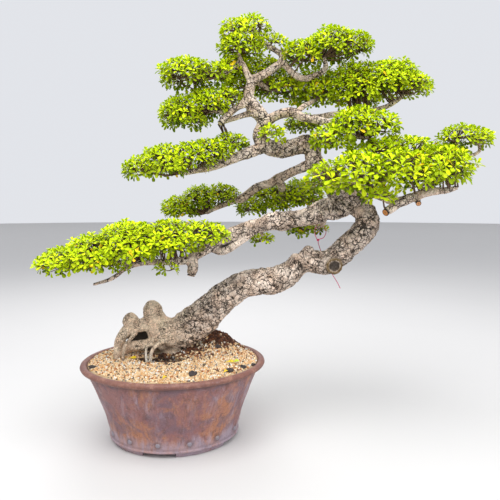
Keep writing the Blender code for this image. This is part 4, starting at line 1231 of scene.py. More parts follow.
def seam_shade(points):
    """How much painted shade each point gets in a seam: on a limb that only fills a seam, and off every
    other.
    """
    share = np.zeros(len(points))
    for name in SEAM_LIMBS:
        own_gap, _ = nearest_limb(points, smooth_route(LIMBS[name], LIMB_STEP))
        near = np.flatnonzero(np.abs(own_gap) < SEAM_REACH)
        rest_gap, _ = nearest_limb(points[near], limb_points(name))
        own = smooth_step(SEAM_REACH, SEAM_CORE, np.abs(own_gap[near]))
        share[near] = smooth_step(*SEAM_CLEAR, rest_gap) * own
    return share


def bark_relief(points, girth, settings):
    """Height and marks of the bark. Large and small cell patterns on warped points are blended by
    the limb's radius; the height falls into the gaps between cells and swells over soft noise.
    Burls add a bell curve less a narrower one."""
    bent = points + BARK_BEND * noise_shift(points, "bark_bend") + BARK_JAG * noise_shift(points, "bark_jag")
    plated = smooth_step(SMOOTH_GIRTH, PLATED_GIRTH, girth)
    rooty = smooth_step(*ROOTY_ALONG, points[:, 0]) * smooth_step(*ROOTY_DOWN, points[:, 2])
    size = settings.plate_size / MM
    wide_gap, wide_tone = cell_pattern(bent, size, SEED + PLATE_SEED)
    small_gap, small_tone = cell_pattern(bent, size * SMALL_PLATES, SEED + SMALL_PLATE_SEED)
    large = plated * (1 - ROOT_SMOOTHING * rooty)
    width = settings.crack_width / MM
    wide_crack = 1 - smooth_step(CRACK_CORE * width, width, wide_gap)
    small_crack = 1 - smooth_step(SMALL_CRACK[0] * width, SMALL_CRACK[1] * width, small_gap)
    patch = named_noise(points, "bark_patch")
    worn = WORN_LEAST + (1 - WORN_LEAST) * smooth_step(*WORN_RANGE, named_noise(points, "bark_worn"))
    crack = np.maximum(
        wide_crack * smooth_step(*CRACKED_RANGE, large) * worn,
        small_crack * (SMALL_SHARE - SMALL_LOSS * large)
        * smooth_step(*PATCH_RANGE, patch + PATCH_LIFT * (1 - large)),
    )
    depth = settings.crack_depth / MM * (THIN_DEPTH + (1 - THIN_DEPTH) * large)
    lumps = named_noise(points, "bark_lump") - 0.5
    lumps = lumps + SMALL_LUMPS * (named_noise(points, "bark_small_lump") - 0.5)
    height = -depth * crack + lumps * girth * (LUMP_SHARE + ROOT_LUMP_SHARE * rooty)
    height += PLATE_RISE * large * smooth_step(0, 0.5 * size, wide_gap)
    height += PIMPLES * (named_noise(points, "bark_pimple") - 0.5) * (PIMPLES_EVERYWHERE + large)
    dark = DARK_PATCHES * large * smooth_step(*DARK_RANGE, named_noise(points, "bark_dark"))
    # Painted shade: the hollows between the roots are darkened.
    for *middle, reach, shade in HOLLOW_SHADE:
        away = np.linalg.norm(points - middle, axis=1) / reach
        dark = np.maximum(dark, shade * smooth_step(1.0, HOLLOW_CORE, away))
    # Painted shade in the seams between limbs.
    dark = np.maximum(dark, seam_shade(points))
    # Burls darken their pits and folds, partly as painted shade.
    for *middle, reach, swell, pit, shade in BURLS:
        away = np.linalg.norm(points - middle, axis=1) / reach
        core = bell(away, BURL_PIT_FALL)
        height += swell * bell(away, BURL_FALL) - (swell + pit) * core * BURL_PIT_SHARE
        fold = bell(away - BURL_FOLD, BURL_FOLD_FALL)
        dark = np.maximum(dark, shade * np.maximum(core, BURL_FOLD_SHARE * fold))
    tone = wide_tone * large + small_tone * (1 - large)
    return height, {"crack": crack, "tone": tone, "dark": dark, "rooty": rooty}


def dress_wound(points, height, marks):
    """Calms the bark on the pruning wound and marks its ring, its dark middle and, as painted shade, the dark
    groove round it.
    """
    offset = points - WOUND_AT
    facing = units(np.array(WOUND_FACING, float))
    lift = offset @ facing
    reach = np.linalg.norm(offset - lift[:, None] * facing, axis=1)
    near = (lift > WOUND_SUNK) & (reach < WOUND_REACH)
    calm = np.where(near, smooth_step(WOUND_CALM, WOUND_REACH, reach), 1.0)
    pit = np.where(near & (lift > 0), smooth_step(*WOUND_PIT, reach), 0.0)
    groove = np.where(near & (lift > 0), bell(reach - WOUND_GROOVE, WOUND_GROOVE_FALL), 0.0)
    marks["ring"] = np.where(near & (lift > WOUND_RING_LIFT), bell(reach - WOUND_RING, WOUND_RING_FALL), 0.0)
    marks["crack"] = np.maximum(marks["crack"] * calm, 0)
    mottle = WOUND_SHADE[0] + WOUND_SHADE[1] * named_noise(points, "wound")
    # The groove round the ring is darkened as painted shade.
    marks["dark"] = np.maximum(np.maximum(marks["dark"], pit * mottle), WOUND_GROOVE_SHADE * groove)
    return np.where(near, height * calm, height)


def make_bark(settings):
    """The bark: tan-grey plates parted by dark cracks, with a broken net of finer cracks over them,
    dark rough places, paler weathered ones, and tan roots. Hollows between roots, seams between limbs
    and burl pits are painted dark as shade."""
    finish, tree, shader = new_finish("bark")
    plates = tinted(tree, cloud(tree, "bark_patch"), settings.plate_colour, settings.pale_colour)
    plates = tinted(tree, cloud(tree, "bark_warm"), plates, COLOURS["warm_plates"])
    roots = tinted(tree, cloud(tree, "root_mottle"), settings.root_colour, COLOURS["pale_roots"])
    ground = tinted(tree, shared(tree, stored(tree, "rooty"), "roots"), plates, roots)
    tone = ranged(tree, stored(tree, "tone"), "bark_tone")
    ground = lightened(tree, ground, reckon(tree, "MULTIPLY", tone, cloud(tree, "bark_grain")))
    fine_net = reckon(tree, "MULTIPLY", net_lines(tree, "fine"), cloud(tree, "net_breaks"))
    on_roots = ranged(tree, stored(tree, "rooty"), "root_cracks")
    wide_net = reckon(tree, "MULTIPLY", net_lines(tree, "wide"), cloud(tree, "crack_fading"), on_roots)
    lines = reckon(tree, "MAXIMUM", fine_net, cloud(tree, "bark_fleck"), wide_net)
    # The dark marks hold dark bark and painted shade, and both take the crack colour.
    crack = reckon(tree, "MAXIMUM", stored(tree, "crack"), stored(tree, "dark"), lines)
    shown = tinted(tree, ranged(tree, crack, "crack_share"), ground, settings.crack_and_shade_colour)
    shown = tinted(tree, shared(tree, stored(tree, "pale"), "bare_root"), shown, COLOURS["bare_root"])
    shown = tinted(tree, shared(tree, stored(tree, "ring"), "wound_ring"), shown, COLOURS["wound_ring"])
    relief = reckon(tree, "SUBTRACT", grain(tree, "bark_fine"), shared(tree, lines, "crack_relief"))
    dress(tree, shader, shown, ranged(tree, crack, "crack_gloss"), raised(tree, relief, "bark"))
    return finish


def make_sawn(settings):
    """Sawn wood: rings about the middle of the cut, darker to the rim, and grey where old."""
    finish, tree, shader = new_finish("sawn_wood")
    reach = stored(tree, "reach")
    wave = node(tree, "Math", {0: reckon(tree, "MULTIPLY", reach, SAWN_RINGS)}, operation="SINE")
    banded = ranged(tree, wave.outputs["Value"], "sawn_rings")
    shown = tinted(tree, stored(tree, "fresh"), settings.pale_colour, settings.sawn_colour)
    shown = tinted(tree, ranged(tree, reach, "sawn_rim"), shown, settings.crack_and_shade_colour)
    shown = tinted(tree, ranged(tree, reach, "sawn_core"), shown, COLOURS["sawn_core"])
    shown = lightened(tree, shown, banded)
    dress(tree, shader, shown, cloud(tree, "sawn_gloss"), raised(tree, banded, "sawn"))
    return finish


class BONSAI_OT_wood(bpy.types.Operator):
    """Builds the trunk, roots and branches with their bark, and the sawn ends"""

    bl_idname = "bonsai.wood"
    bl_label = "Wood"

    def execute(self, context):
        settings = context.scene.bonsai_wood
        shapes = [limb(stations) for stations in LIMBS.values()]
        shapes.append(aimed(turned(WOUND_PROFILE, WOUND_SIDES), WOUND_AT, WOUND_FACING))
        rough = new_mesh("rough_wood", *joined(shapes))
        even = with_modifier(rough, "REMESH", mode="VOXEL", voxel_size=settings.mesh_step)
        edges = np.empty(len(even.edges) * 2, np.int32)
        even.edges.foreach_get("vertices", edges)
        points = smoothed(points_of(even), edges.reshape(-1, 2), SMOOTHING_ROUNDS, SMOOTHING_PULL)
        set_points(even, points)
        _, girth = nearest_limb(points, limb_points())
        height, marks = bark_relief(points, girth, settings)
        height = dress_wound(points, height, marks)
        points = points + height[:, None] * normals_of(even)
        set_points(even, points)
        away = np.linalg.norm(points - PALE_ROOT[:3], axis=1) / PALE_ROOT[3]
        marks["pale"] = bell(away, PALE_FALL) * smooth_step(*PALE_GIRTH, girth)
        for name, values in marks.items():
            mark(even, name, values)
        even = with_modifier(even, "DECIMATE", ratio=settings.kept_share)
        even.materials.clear()
        piece("wood", even, make_bark(settings), ["trunk_and_branches"])
        self.make_sawn_ends(settings)
        return {"FINISHED"}

    def make_sawn_ends(self, settings):
        """Low turned discs, each on the end of its stub."""
        profile = np.array(SAWN_PROFILE)
        shapes, reach, fresh = [], [], []
        for at, facing, radius, orange in SAWN_ENDS:
            shape = turned(np.column_stack([profile[:, 0] * radius, profile[:, 1]]), SAWN_SIDES)
            reach.append(np.linalg.norm(shape[0][:, :2], axis=1) / radius)
            fresh.append(np.full(len(shape[0]), orange))
            shapes.append(aimed(shape, at, facing))
        mesh = new_mesh("sawn_ends", *joined(shapes))
        mark(mesh, "reach", np.concatenate(reach))
        mark(mesh, "fresh", np.concatenate(fresh))
        piece("sawn_ends", mesh, make_sawn(settings))


def ball_points(half, gap, chance):
    """Points on a unit ball at golden angles, enough of them for an oval of this half size."""
    count = int(CANDIDATES * np.prod(half) ** (2 / 3) / gap**2) + FEWEST_CANDIDATES
    index = np.arange(count) + chance.random()
    height = 1 - 2 * index / (count + 1)
    turn = GOLDEN_ANGLE * index * (1 + GOLDEN_DRIFT * chance.random())
    flat = np.sqrt(np.maximum(1 - height**2, 0))
    return np.column_stack([flat * np.cos(turn), flat * np.sin(turn), height])


def rosettes_of(pad, settings, wood, chance):
    """Middles, facings, light and lobe middles of a pad's rosettes. In each layer of each lobe the
    directions follow the golden angle, and a rosette is kept if it is clear of the other lobes'
    outer layer, of the wood and of the rosettes kept before it."""
    length, lit, lobes = PADS[pad]
    lobes = np.array(lobes, float)
    kept = np.empty((0, 3))
    facings, lights, hearts = [], [], []
    for (share, wider, light), (number, lobe) in itertools.product(LAYERS, enumerate(lobes)):
        gap = length * settings.rosette_spacing * wider
        heart, half = lobe[:3], lobe[3:] * share + (length * OUTER_LIFT if share > 1 else 0)
        ball = ball_points(half, gap, chance)
        count = len(ball)
        outward = units(ball / half)
        lump = PAD_RAGGED * (named_noise(heart + ball * half, "pad")[:, None] - 0.5)
        stray = STRAY_REACH * (chance.random((count, 1)) < STRAY_SHARE)
        at = heart + ball * half * (1 + lump + stray + ROSETTE_JITTER * either_way(chance, count, 1))
        at[:, 2] = np.where(ball[:, 2] < 0, heart[2] + (at[:, 2] - heart[2]) * UNDERSIDE_FLATNESS, at[:, 2])
        others = np.delete(lobes, number, axis=0)
        inside = (((at[:, None] - others[:, :3]) / (others[:, 3:] * share)) ** 2).sum(axis=2)
        clear, _ = nearest_limb(at, wood)
        good = (inside > LOBE_CLEAR).all(axis=1) & (clear > ROSETTE_WOOD_GAP)
        good &= outward[:, 2] > LOWEST_FACING
        good &= (outward[:, 2] > UNDERSIDE_FACING) | (chance.random(count) < UNDERSIDE_SHARE)
        for one in chance.permutation(np.flatnonzero(good)):
            if len(kept) and np.min(((kept - at[one]) ** 2).sum(axis=1)) < gap**2:
                continue
            kept = np.vstack([kept, at[one]])
            facings.append(outward[one])
            top = smooth_step(*LIGHT_FACING, outward[one, 2])
            lights.append(light * lit * (UNDER_LIGHT + MORE_LIGHT * top))
            hearts.append(heart)
    lean = ROSETTE_LEAN * (chance.random((len(kept), 3)) * 2 - 1)
    facing = units(np.array(facings) + (0, 0, ROSETTE_UPWARD) + lean)
    return kept, facing, np.array(lights), np.array(hearts)


def leaf_template():
    """One leaf of unit length: a rim, a point on top of the midrib and one below it. The rim rises
    with its distance from the midrib, and the whole falls with the square of the share along it."""
    outline = np.array(LEAF_OUTLINE)
    right = np.column_stack([outline, np.zeros(len(outline))])
    left = right[-2:0:-1] * (1, -1, 1)
    rim = np.vstack([right, left])
    middle = np.array([[LEAF_MIDDLE, 0, LEAF_THICKNESS / 2], [LEAF_MIDDLE, 0, -LEAF_THICKNESS / 2]])
    points = np.vstack([rim, middle])
    points[:, 2] += LEAF_FOLD * np.abs(points[:, 1]) - LEAF_CURL * points[:, 0] ** 2
    step = np.arange(len(rim))
    following = (step + 1) % len(rim)
    top, below = len(rim), len(rim) + 1
    faces = np.vstack([
        np.column_stack([following, step, np.full(len(rim), top)]),
        np.column_stack([step, following, np.full(len(rim), below)]),
    ])
    return points, faces


def leaves_at(base, along, upper, length):
    """Leaf templates carried to their bases, each with its direction, its upper side and its length."""
    template, template_faces = leaf_template()
    side = np.cross(upper, along)
    points = base[:, None] + length[:, None, None] * (
        template[None, :, :1] * along[:, None]
        + template[None, :, 1:2] * side[:, None]
        + template[None, :, 2:] * upper[:, None]
    )
    faces = template_faces[None] + (np.arange(len(base)) * len(template))[:, None, None]
    return points.reshape(-1, 3), faces.reshape(-1, 3), template


def rosette_leaves(kept, facing, pad_length, number, chance):
    """Leaves round each rosette at golden angles, the outer ones lying flat and the inner upright."""
    shape = (len(kept), number)
    rank = np.arange(number) / (number - 1)
    first = units(np.cross(facing, ODD_DIRECTION))
    second = np.cross(facing, first)
    turn = chance.random((len(kept), 1)) * 2 * math.pi + GOLDEN_ANGLE * np.arange(number)
    turn = turn + LEAF_TWIST * chance.random(shape)
    outer, less, scatter = LEAF_TILTS
    tilt = np.radians(outer - less * rank + scatter * either_way(chance, *shape))
    size = pad_length * (1 - INNER_SMALLER * rank) * (LEAF_SIZES[0] + LEAF_SIZES[1] * chance.random(shape))
    around = np.cos(turn)[..., None] * first[:, None] + np.sin(turn)[..., None] * second[:, None]
    along = np.cos(tilt)[..., None] * facing[:, None] + np.sin(tilt)[..., None] * around
    skyward = facing[:, None] + SKYWARD
    upper = units(skyward - (skyward * along).sum(axis=2, keepdims=True) * along)
    base = kept[:, None] - facing[:, None] * (SHOOT_LENGTH * (1 - rank))[None, :, None]
    return [part.reshape(-1, 3) for part in (base, along, upper)] + [size.ravel()]


def twigs_between(start, end, thick, thin, bend, chance):
    """Thin twigs from each start to its end: straight lines with a sideways bow that is a sine of the
    share along them, three-sided, and tapered evenly."""
    count = len(start)
    share = np.linspace(0, 1, TWIG_SEGMENTS + 1)
    line = end - start
    along = units(line)
    across = units(np.cross(along, np.where(np.abs(along[:, 2:]) < MOSTLY_Z, (0, 0, 1.0), (1.0, 0, 0))))
    upright = np.cross(along, across)
    reach = np.linalg.norm(line, axis=1)[:, None]
    sway = across * (chance.random((count, 1)) * 2 - 1) + upright * (chance.random((count, 1)) * 2 - 1)
    bow = bend * reach * sway
    centres = start[:, None] + line[:, None] * share[:, None]
    centres = centres + bow[:, None] * np.sin(math.pi * share)[:, None]
    radius = thick + (thin - thick) * share
    turn = turns(TWIG_SIDES)
    ring = np.cos(turn)[:, None] * across[:, None, None] + np.sin(turn)[:, None] * upright[:, None, None]
    points = centres[:, :, None] + radius[:, None, None] * ring
    sides = ring_faces(TWIG_SEGMENTS + 1, TWIG_SIDES)
    top = TWIG_SEGMENTS * TWIG_SIDES
    faces = np.vstack([sides[:, [0, 1, 2]], sides[:, [0, 2, 3]], [[0, 2, 1]], [[top, top + 1, top + 2]]])
    offsets = np.arange(count) * (TWIG_SEGMENTS + 1) * TWIG_SIDES
    return points.reshape(-1, 3), (faces[None] + offsets[:, None, None]).reshape(-1, 3)


def make_leaf_finish(settings):
    """Leaf skin: colour by each leaf's own tone, painted shade by its light deep in a pad and on its
    underside, and a paler midrib.
    """
    finish, tree, shader = new_finish("leaf")
    tone = stored(tree, "tone")
    shown = tinted(tree, ranged(tree, tone, "young_share"), settings.leaf_colour, settings.young_colour)
    # Painted shade: dim leaves take the shaded leaf colour.
    shown = tinted(tree, ranged(tree, stored(tree, "light"), "leaf_light"), settings.shaded_leaf_colour, shown)
    shown = lightened(tree, shown, cloud(tree, "leaf_drift"))
    shown = tinted(tree, ranged(tree, tone, "turning_share"), shown, settings.turning_colour)
    rib = ranged(tree, stored(tree, "across"), "leaf_rib")
    shown = tinted(tree, shared(tree, rib, "rib"), shown, settings.young_colour)
    veins = node(tree, "TexWave", {"Vector": place(tree), **VEIN_WAVE}).outputs["Fac"]
    dress(tree, shader, shown, cloud(tree, "leaf_gloss"), raised(tree, veins, "leaf"))
    return finish


def make_twig_finish(settings):
    """Grey-brown skin of the fine twigs, with pale lenticels."""
    finish, tree, shader = new_finish("twig_skin")
    speck = cloud(tree, "twig_speck")
    shown = tinted(tree, speck, settings.twig_colour, COLOURS["lenticels"])
    dress(tree, shader, shown, ranged(tree, speck, "twig_gloss"), raised(tree, speck, "twig"))
    return finish


class BONSAI_OT_foliage(bpy.types.Operator):
    """Builds every pad of leaves with the twigs that carry it"""

    bl_idname = "bonsai.foliage"
    bl_label = "Foliage"

    def execute(self, context):
        settings = context.scene.bonsai_leaves
        leaf_finish = make_leaf_finish(settings)
        twig_finish = make_twig_finish(settings)
        wood = limb_points()
        for number, pad in enumerate(PADS):
            chance = np.random.default_rng(SEED + number)
            kept, facing, light, hearts = rosettes_of(pad, settings, wood, chance)
            self.make_leaves(pad, settings, leaf_finish, kept, facing, light, chance)
            self.make_twigs(pad, twig_finish, kept, facing, hearts, wood, chance)
        return {"FINISHED"}

    def make_leaves(self, pad, settings, finish, kept, facing, light, chance):
        """Rosettes of leaves as one mesh, a few leaves of them missing."""
        number = settings.leaves_in_rosette
        parts = rosette_leaves(kept, facing, PADS[pad][0], number, chance)
        present = chance.random(len(parts[0])) < LEAVES_PRESENT
        base, along, upper, length = (part[present] for part in parts)
        points, faces, template = leaves_at(base, along, upper, length)
        mesh = new_mesh(pad + "_leaves", points, faces)
        corners = len(template)
        leaf_light = np.repeat(light, number)[present]
        leaf_light = leaf_light * (LEAF_LIGHTS[0] + LEAF_LIGHTS[1] * chance.random(len(base)))
        mark(mesh, "tone", np.repeat(chance.random(len(base)), corners))
        mark(mesh, "light", np.repeat(leaf_light, corners))
        mark(mesh, "across", np.tile(np.abs(template[:, 1]), len(base)))
        piece(pad + "_leaves", mesh, finish, [pad], sharp=SHARP_LEAF)

    def make_twigs(self, pad, finish, kept, facing, hearts, wood, chance):
        """Branchlets run from the wood to forks inside the pad, and twigs from each fork to its rosettes."""
        chosen = chance.permutation(len(kept))[:max(FEWEST_FORKS, len(kept) // ROSETTES_ON_FORK)]
        fork_at = hearts[chosen] + FORK_DEPTH * (kept[chosen] - hearts[chosen])
        fork_at[:, 2] -= FORK_DROP
        nearest = fork_at[np.linalg.norm(kept[:, None] - fork_at, axis=2).argmin(axis=1)]
        at_wood, at_fork, at_rosette = TWIG_RADII
        stalks = twigs_between(nearest, kept - facing, at_fork, at_rosette, STALK_BOW, chance)
        roots = wood[np.linalg.norm(fork_at[:, None] - wood[None, :, :3], axis=2).argmin(axis=1), :3]
        branchlets = twigs_between(roots, fork_at, at_wood, at_fork, BRANCHLET_BOW, chance)
        mesh = new_mesh(pad + "_twigs", *joined([stalks, branchlets]))
        piece(pad + "_twigs", mesh, finish)


def soil_height(x, y, share):
    """Height of the grit: a crown that falls with the square of the share outwards, a heap behind the
    trunk and a hollow before it, each a bell curve, and small noise, all gone at the edge."""
    heap, hollow = soil_marks(x, y)
    coarse, fine = SOIL_ROUGH
    rough = coarse * (flat_noise(x, y, "soil") - 0.5) + fine * (flat_noise(x, y, "soil_fine") - 0.5)
    crown = SOIL_EDGE_HEIGHT + SOIL_CROWN * (1 - share**2)
    marks = SOIL_HEAP_HEIGHT * heap - SOIL_HOLLOW_DEPTH * hollow + rough * (1 + heap)
    return crown + marks * (1 - share**4)


def hill(x, y, width):
    """A bell curve over a plane that is this wide either way."""
    return np.exp(-0.5 * ((x / width[0]) ** 2 + (y / width[1]) ** 2))


def soil_marks(x, y):
    """How much each place belongs to the heap and to the hollow."""
    heap = hill(x - SOIL_HEAP_AT[0], y - SOIL_HEAP_AT[1], SOIL_HEAP_SPREAD)
    return heap, hill(x - SOIL_HOLLOW_AT[0], y - SOIL_HOLLOW_AT[1], SOIL_HOLLOW_SPREAD)


def dark_share(x, y, chance):
    """How brown the soil is: on the heap, in the hollow and in a strip under the trunk, broken up."""
    heap, hollow = soil_marks(x, y)
    along, across = x - HUMUS_AT[0], y - HUMUS_AT[1]
    strip = hill(along, across - HUMUS_SLANT * along, HUMUS_SPREAD)
    broken = flat_noise(x, y, "humus") - 0.5 + 0.5 * either_way(chance, len(x))
    most = np.maximum(HEAP_BROWN * heap, np.maximum(hollow, strip))
    return np.clip(most * BROWN + BROWN_NOISE * broken - BROWN_LEAST, 0, 1)


def grit_shade_share(x, y):
    """How much painted shade darkens the grit under the foot of the trunk."""
    _, hollow = soil_marks(x, y)
    return smooth_step(*GRIT_SHADE_RANGE, hollow + GRIT_SHADE_NOISE * (flat_noise(x, y, "sunk") - 0.5))


def pot_share(x, y):
    """How far out a place lies between the middle of the grit and its edge."""
    along, across = spun(x, y, -POT_TURN)
    return np.hypot(along, across / POT_OVAL) / SOIL_RIM


def make_grit_finish(settings):
    """Grit: each grain is pale, tan, white or dark by its tone, brown where humus lies, and painted near
    black as shade under the trunk and on the bed between the grains.
    """
    finish, tree, shader = new_finish("potting_grit")
    tone = stored(tree, "tone")
    shown = tinted(tree, ranged(tree, tone, "pale_grains"), settings.tan_colour, settings.pale_colour)
    for name in ("rusty_grains", "grey_grains", "white_grains", "dark_grains"):
        shown = tinted(tree, ranged(tree, tone, name), shown, COLOURS[name])
    humus = tinted(tree, ranged(tree, tone, "red_humus"), settings.humus_colour, COLOURS["red_humus"])
    shown = tinted(tree, stored(tree, "humus"), shown, humus)
    # Painted shade under the trunk and on the bed between the grains.
    shown = tinted(tree, stored(tree, "sunk"), shown, COLOURS["sunk"])
    shown = lightened(tree, shown, cloud(tree, "grain_mottle"))
    bumps = raised(tree, grain(tree, "grit_fine"), "grit")
    dress(tree, shader, shown, ranged(tree, tone, "grit_gloss"), bumps)
    return finish


class BONSAI_OT_grit(bpy.types.Operator):
    """Builds the grit that fills the pot, its loose grains, the feed pellets and the dropped leaves"""

    bl_idname = "bonsai.grit"
    bl_label = "Grit"

    def execute(self, context):
        settings = context.scene.bonsai_grit
        finish = make_grit_finish(settings)
        chance = np.random.default_rng(SEED + GRIT_SEED)
        self.make_bed(finish, chance)
        self.make_grains(settings, finish, chance)
        self.make_pellets(settings, chance)
        self.make_dropped(context.scene.bonsai_leaves)
        return {"FINISHED"}

    def make_bed(self, finish, chance):
        """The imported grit: rings from the pot's floor out, up the wall and in over the top."""
        turn = turns(SOIL_SECTORS)
        share = np.linspace(1, SOIL_MIDDLE, SOIL_RINGS)
        reach = np.concatenate([[SOIL_FLOOR[0] * 0.5, SOIL_FLOOR[0]], SOIL_RIM * share])
        x, y = spun(reach[:, None] * np.cos(turn), POT_OVAL * reach[:, None] * np.sin(turn), POT_TURN)
        x, y = x.ravel(), y.ravel()
        shares = np.repeat(np.concatenate([[1, 1], share]), SOIL_SECTORS)
        height = soil_height(x, y, shares)
        height[:2 * SOIL_SECTORS] = SOIL_FLOOR[1]
        points, faces = capped(np.column_stack([x, y, height]), len(reach), SOIL_SECTORS)
        mesh = new_mesh("grit_bed", points, faces)
        mark(mesh, "tone", BED_TONES[0] + BED_TONES[1] * named_noise(points, "bed"))
        mark(mesh, "humus", dark_share(points[:, 0], points[:, 1], chance))
        # Painted shade: the bed between the grains is darkened everywhere.
        mark(mesh, "sunk", np.maximum(grit_shade_share(points[:, 0], points[:, 1]), BED_SHADE))
        piece("grit_bed", mesh, finish, ["soil"])

    def make_grains(self, settings, finish, chance):
        """Loose grains: cubes with scattered corners, on a hexagonal grid with every place jittered."""
        step = settings.grain_spacing / MM
        rows = np.arange(-GRAIN_REACH[1], GRAIN_REACH[1], step * ROW_STEP)
        x, y = np.meshgrid(np.arange(-GRAIN_REACH[0], GRAIN_REACH[0], step), rows)
        x = x + (np.arange(len(rows)) % 2)[:, None] * step / 2
        x = (x + step * GRAIN_JITTER * either_way(chance, *x.shape)).ravel()
        y = (y + step * GRAIN_JITTER * either_way(chance, *y.shape)).ravel()
        inside = pot_share(x, y) < GRAIN_EDGE
        x, y = x[inside], y[inside]
        height = soil_height(x, y, pot_share(x, y))
        clear, _ = nearest_limb(np.column_stack([x, y, height]), limb_points())
        x, y, height = (place_on[clear > GRAIN_IN_WOOD] for place_on in (x, y, height))
        count = len(x)
        humus = dark_share(x, y, chance)
        radius = settings.grain_radius / MM * (GRAIN_SIZES[0] + GRAIN_SIZES[1] * chance.random(count) ** 2)
        radius *= 1 + HUMUS_LARGER * humus * chance.random(count)
        corners = np.array(CUBE_CORNERS, float) * CORNER_REACH
        shape = corners[None] * (GRAIN_STRETCH[0] + GRAIN_STRETCH[1] * chance.random((count, 1, 3)))
        shape = shape + CORNER_JITTER * either_way(chance, count, len(corners), 3)
        flat_x, flat_y = spun(shape[..., 0], shape[..., 1], 2 * math.pi * chance.random(count)[:, None])
        leaning, upright = spun(flat_x, shape[..., 2], 2 * math.pi * chance.random(count)[:, None])
        middle = np.column_stack([x, y, height + GRAIN_LIFT * radius])
        points = middle[:, None] + radius[:, None, None] * np.stack([leaning, flat_y, upright], axis=-1)
        faces = np.array(CUBE_FACES)[None] + (np.arange(count) * len(corners))[:, None, None]
        mesh = new_mesh("grit_grains", points.reshape(-1, 3), faces.reshape(-1, 3))
        mark(mesh, "tone", np.repeat(chance.random(count), len(corners)))
        mark(mesh, "humus", np.repeat(humus > chance.random(count), len(corners)))
        # Painted shade on the grains under the trunk.
        sunk = grit_shade_share(x, y) * (GRAIN_SHADE[0] + GRAIN_SHADE[1] * chance.random(count))
        mark(mesh, "sunk", np.repeat(sunk, len(corners)))
        piece("grit_grains", mesh, finish, sharp=SHARP_GRAIN)

    def make_pellets(self, settings, chance):
        """Rough dark pellets: turned ovals whose radius follows soft noise."""
        finish, tree, shader = new_finish("feed_pellet")
        mottled = cloud(tree, "pellet_mottle")
        shown = tinted(tree, mottled, settings.pellet_colour, COLOURS["pellet_dust"])
        dress(tree, shader, shown, ranged(tree, mottled, "pellet_gloss"), raised(tree, mottled, "pellet"))
        angle = np.linspace(-math.pi / 2, math.pi / 2, PELLET_ARCS)[1:-1]
        ball = np.column_stack([np.cos(angle), np.sin(angle)])
        shapes = []
        for x, y, radius in PELLETS:
            points, faces = turned(ball, PELLET_SIDES)
            lumps = PELLET_LUMPS[0] + PELLET_LUMPS[1] * named_noise(points + (x, y, 0), "pellet")
            stretch = PELLET_STRETCH[0] + PELLET_STRETCH[1] * chance.random(3)
            at = np.array([x]), np.array([y])
            height = soil_height(*at, pot_share(*at))[0]
            points = points * lumps[:, None] * radius * stretch * PELLET_FLAT
            shapes.append((points + (x, y, height + radius * PELLET_LIFT), faces))
        piece("feed_pellets", new_mesh("feed_pellets", *joined(shapes)), finish)

    def make_dropped(self, settings):
        """Dropped leaves lying on the grit."""
        finish, tree, shader = new_finish("dropped_leaf")
        shown = tinted(tree, stored(tree, "yellow"), settings.leaf_colour, settings.turning_colour)
        shown = tinted(tree, cloud(tree, "dropped_spots"), shown, COLOURS["leaf_spots"])
        dress(tree, shader, shown, cloud(tree, "dropped_gloss"))
        x, y, spin, yellow = np.array(DROPPED_LEAVES, float).T
        turn = np.radians(spin)
        along = units(np.column_stack([np.cos(turn), np.sin(turn), np.full(len(turn), DROPPED_TILT)]))
        upper = units(DROPPED_UPPER - (along @ DROPPED_UPPER)[:, None] * along)
        base = np.column_stack([x, y, soil_height(x, y, pot_share(x, y)) + DROPPED_LIFT])
        points, faces, template = leaves_at(base, along, upper, np.full(len(turn), float(DROPPED_LENGTH)))
        mesh = new_mesh("dropped_leaves", points, faces)
        mark(mesh, "yellow", np.repeat(yellow, len(template)))
        piece("dropped_leaves", mesh, finish, sharp=SHARP_LEAF)


def make_clay(settings):
    """Fired stoneware: red-brown clay with rusty clouds, streaks of ash bloom that thicken to the foot
    and on the studs, a worn lip, fine scuffs, and painted shade in the grooves and round the studs."""
    finish, tree, shader = new_finish("stoneware")
    height = node(tree, "SeparateXYZ", {"Vector": place(tree)}).outputs["Z"]
    rust = reckon(tree, "ADD", grain(tree, "rust"), ranged(tree, height, "rust_low"))
    shown = tinted(tree, ranged(tree, rust, "rust_share"), settings.clay_colour, settings.rust_colour)
    shown = tinted(tree, ranged(tree, grain(tree, "murk"), "murk_share"), shown, COLOURS["murk"])
    shown = tinted(tree, ranged(tree, grain(tree, "brushing"), "brushed_share"), shown, COLOURS["brushing"])
    low, high = ranged(tree, height, "bloom_low"), ranged(tree, height, "bloom_high")
    bloom = ranged(tree, reckon(tree, "ADD", grain(tree, "streaks"), low, high), "bloom_share")
    shown = tinted(tree, shared(tree, bloom, "bloom"), shown, settings.bloom_colour)
    lip = ranged(tree, height, "lip")
    shown = tinted(tree, shared(tree, lip, "lip"), shown, COLOURS["lip"])
    shown = tinted(tree, reckon(tree, "MULTIPLY", lip, cloud(tree, "lip_rubs")), shown, COLOURS["worn_lip"])
    scratch = grain(tree, "scratches")
    shown = tinted(tree, ranged(tree, scratch, "scuff_share"), shown, COLOURS["scuffs"])
    shown = tinted(tree, cloud(tree, "clay_fleck"), shown, COLOURS["clay_flecks"])
    shown = tinted(tree, cloud(tree, "clay_dust"), shown, COLOURS["clay_dust"])
    # Painted shade in the grooves under the lip and above the foot, and round the studs.
    shown = tinted(tree, shared(tree, stored(tree, "groove"), "groove"), shown, COLOURS["groove"])
    shown = tinted(tree, shared(tree, stored(tree, "stud"), "stud"), shown, COLOURS["studs"])
    relief = reckon(tree, "ADD", grain(tree, "clay_fine"), shared(tree, scratch, "scratch_relief"))
    dress(tree, shader, shown, cloud(tree, "clay_gloss"), raised(tree, relief, "clay"))
    return finish


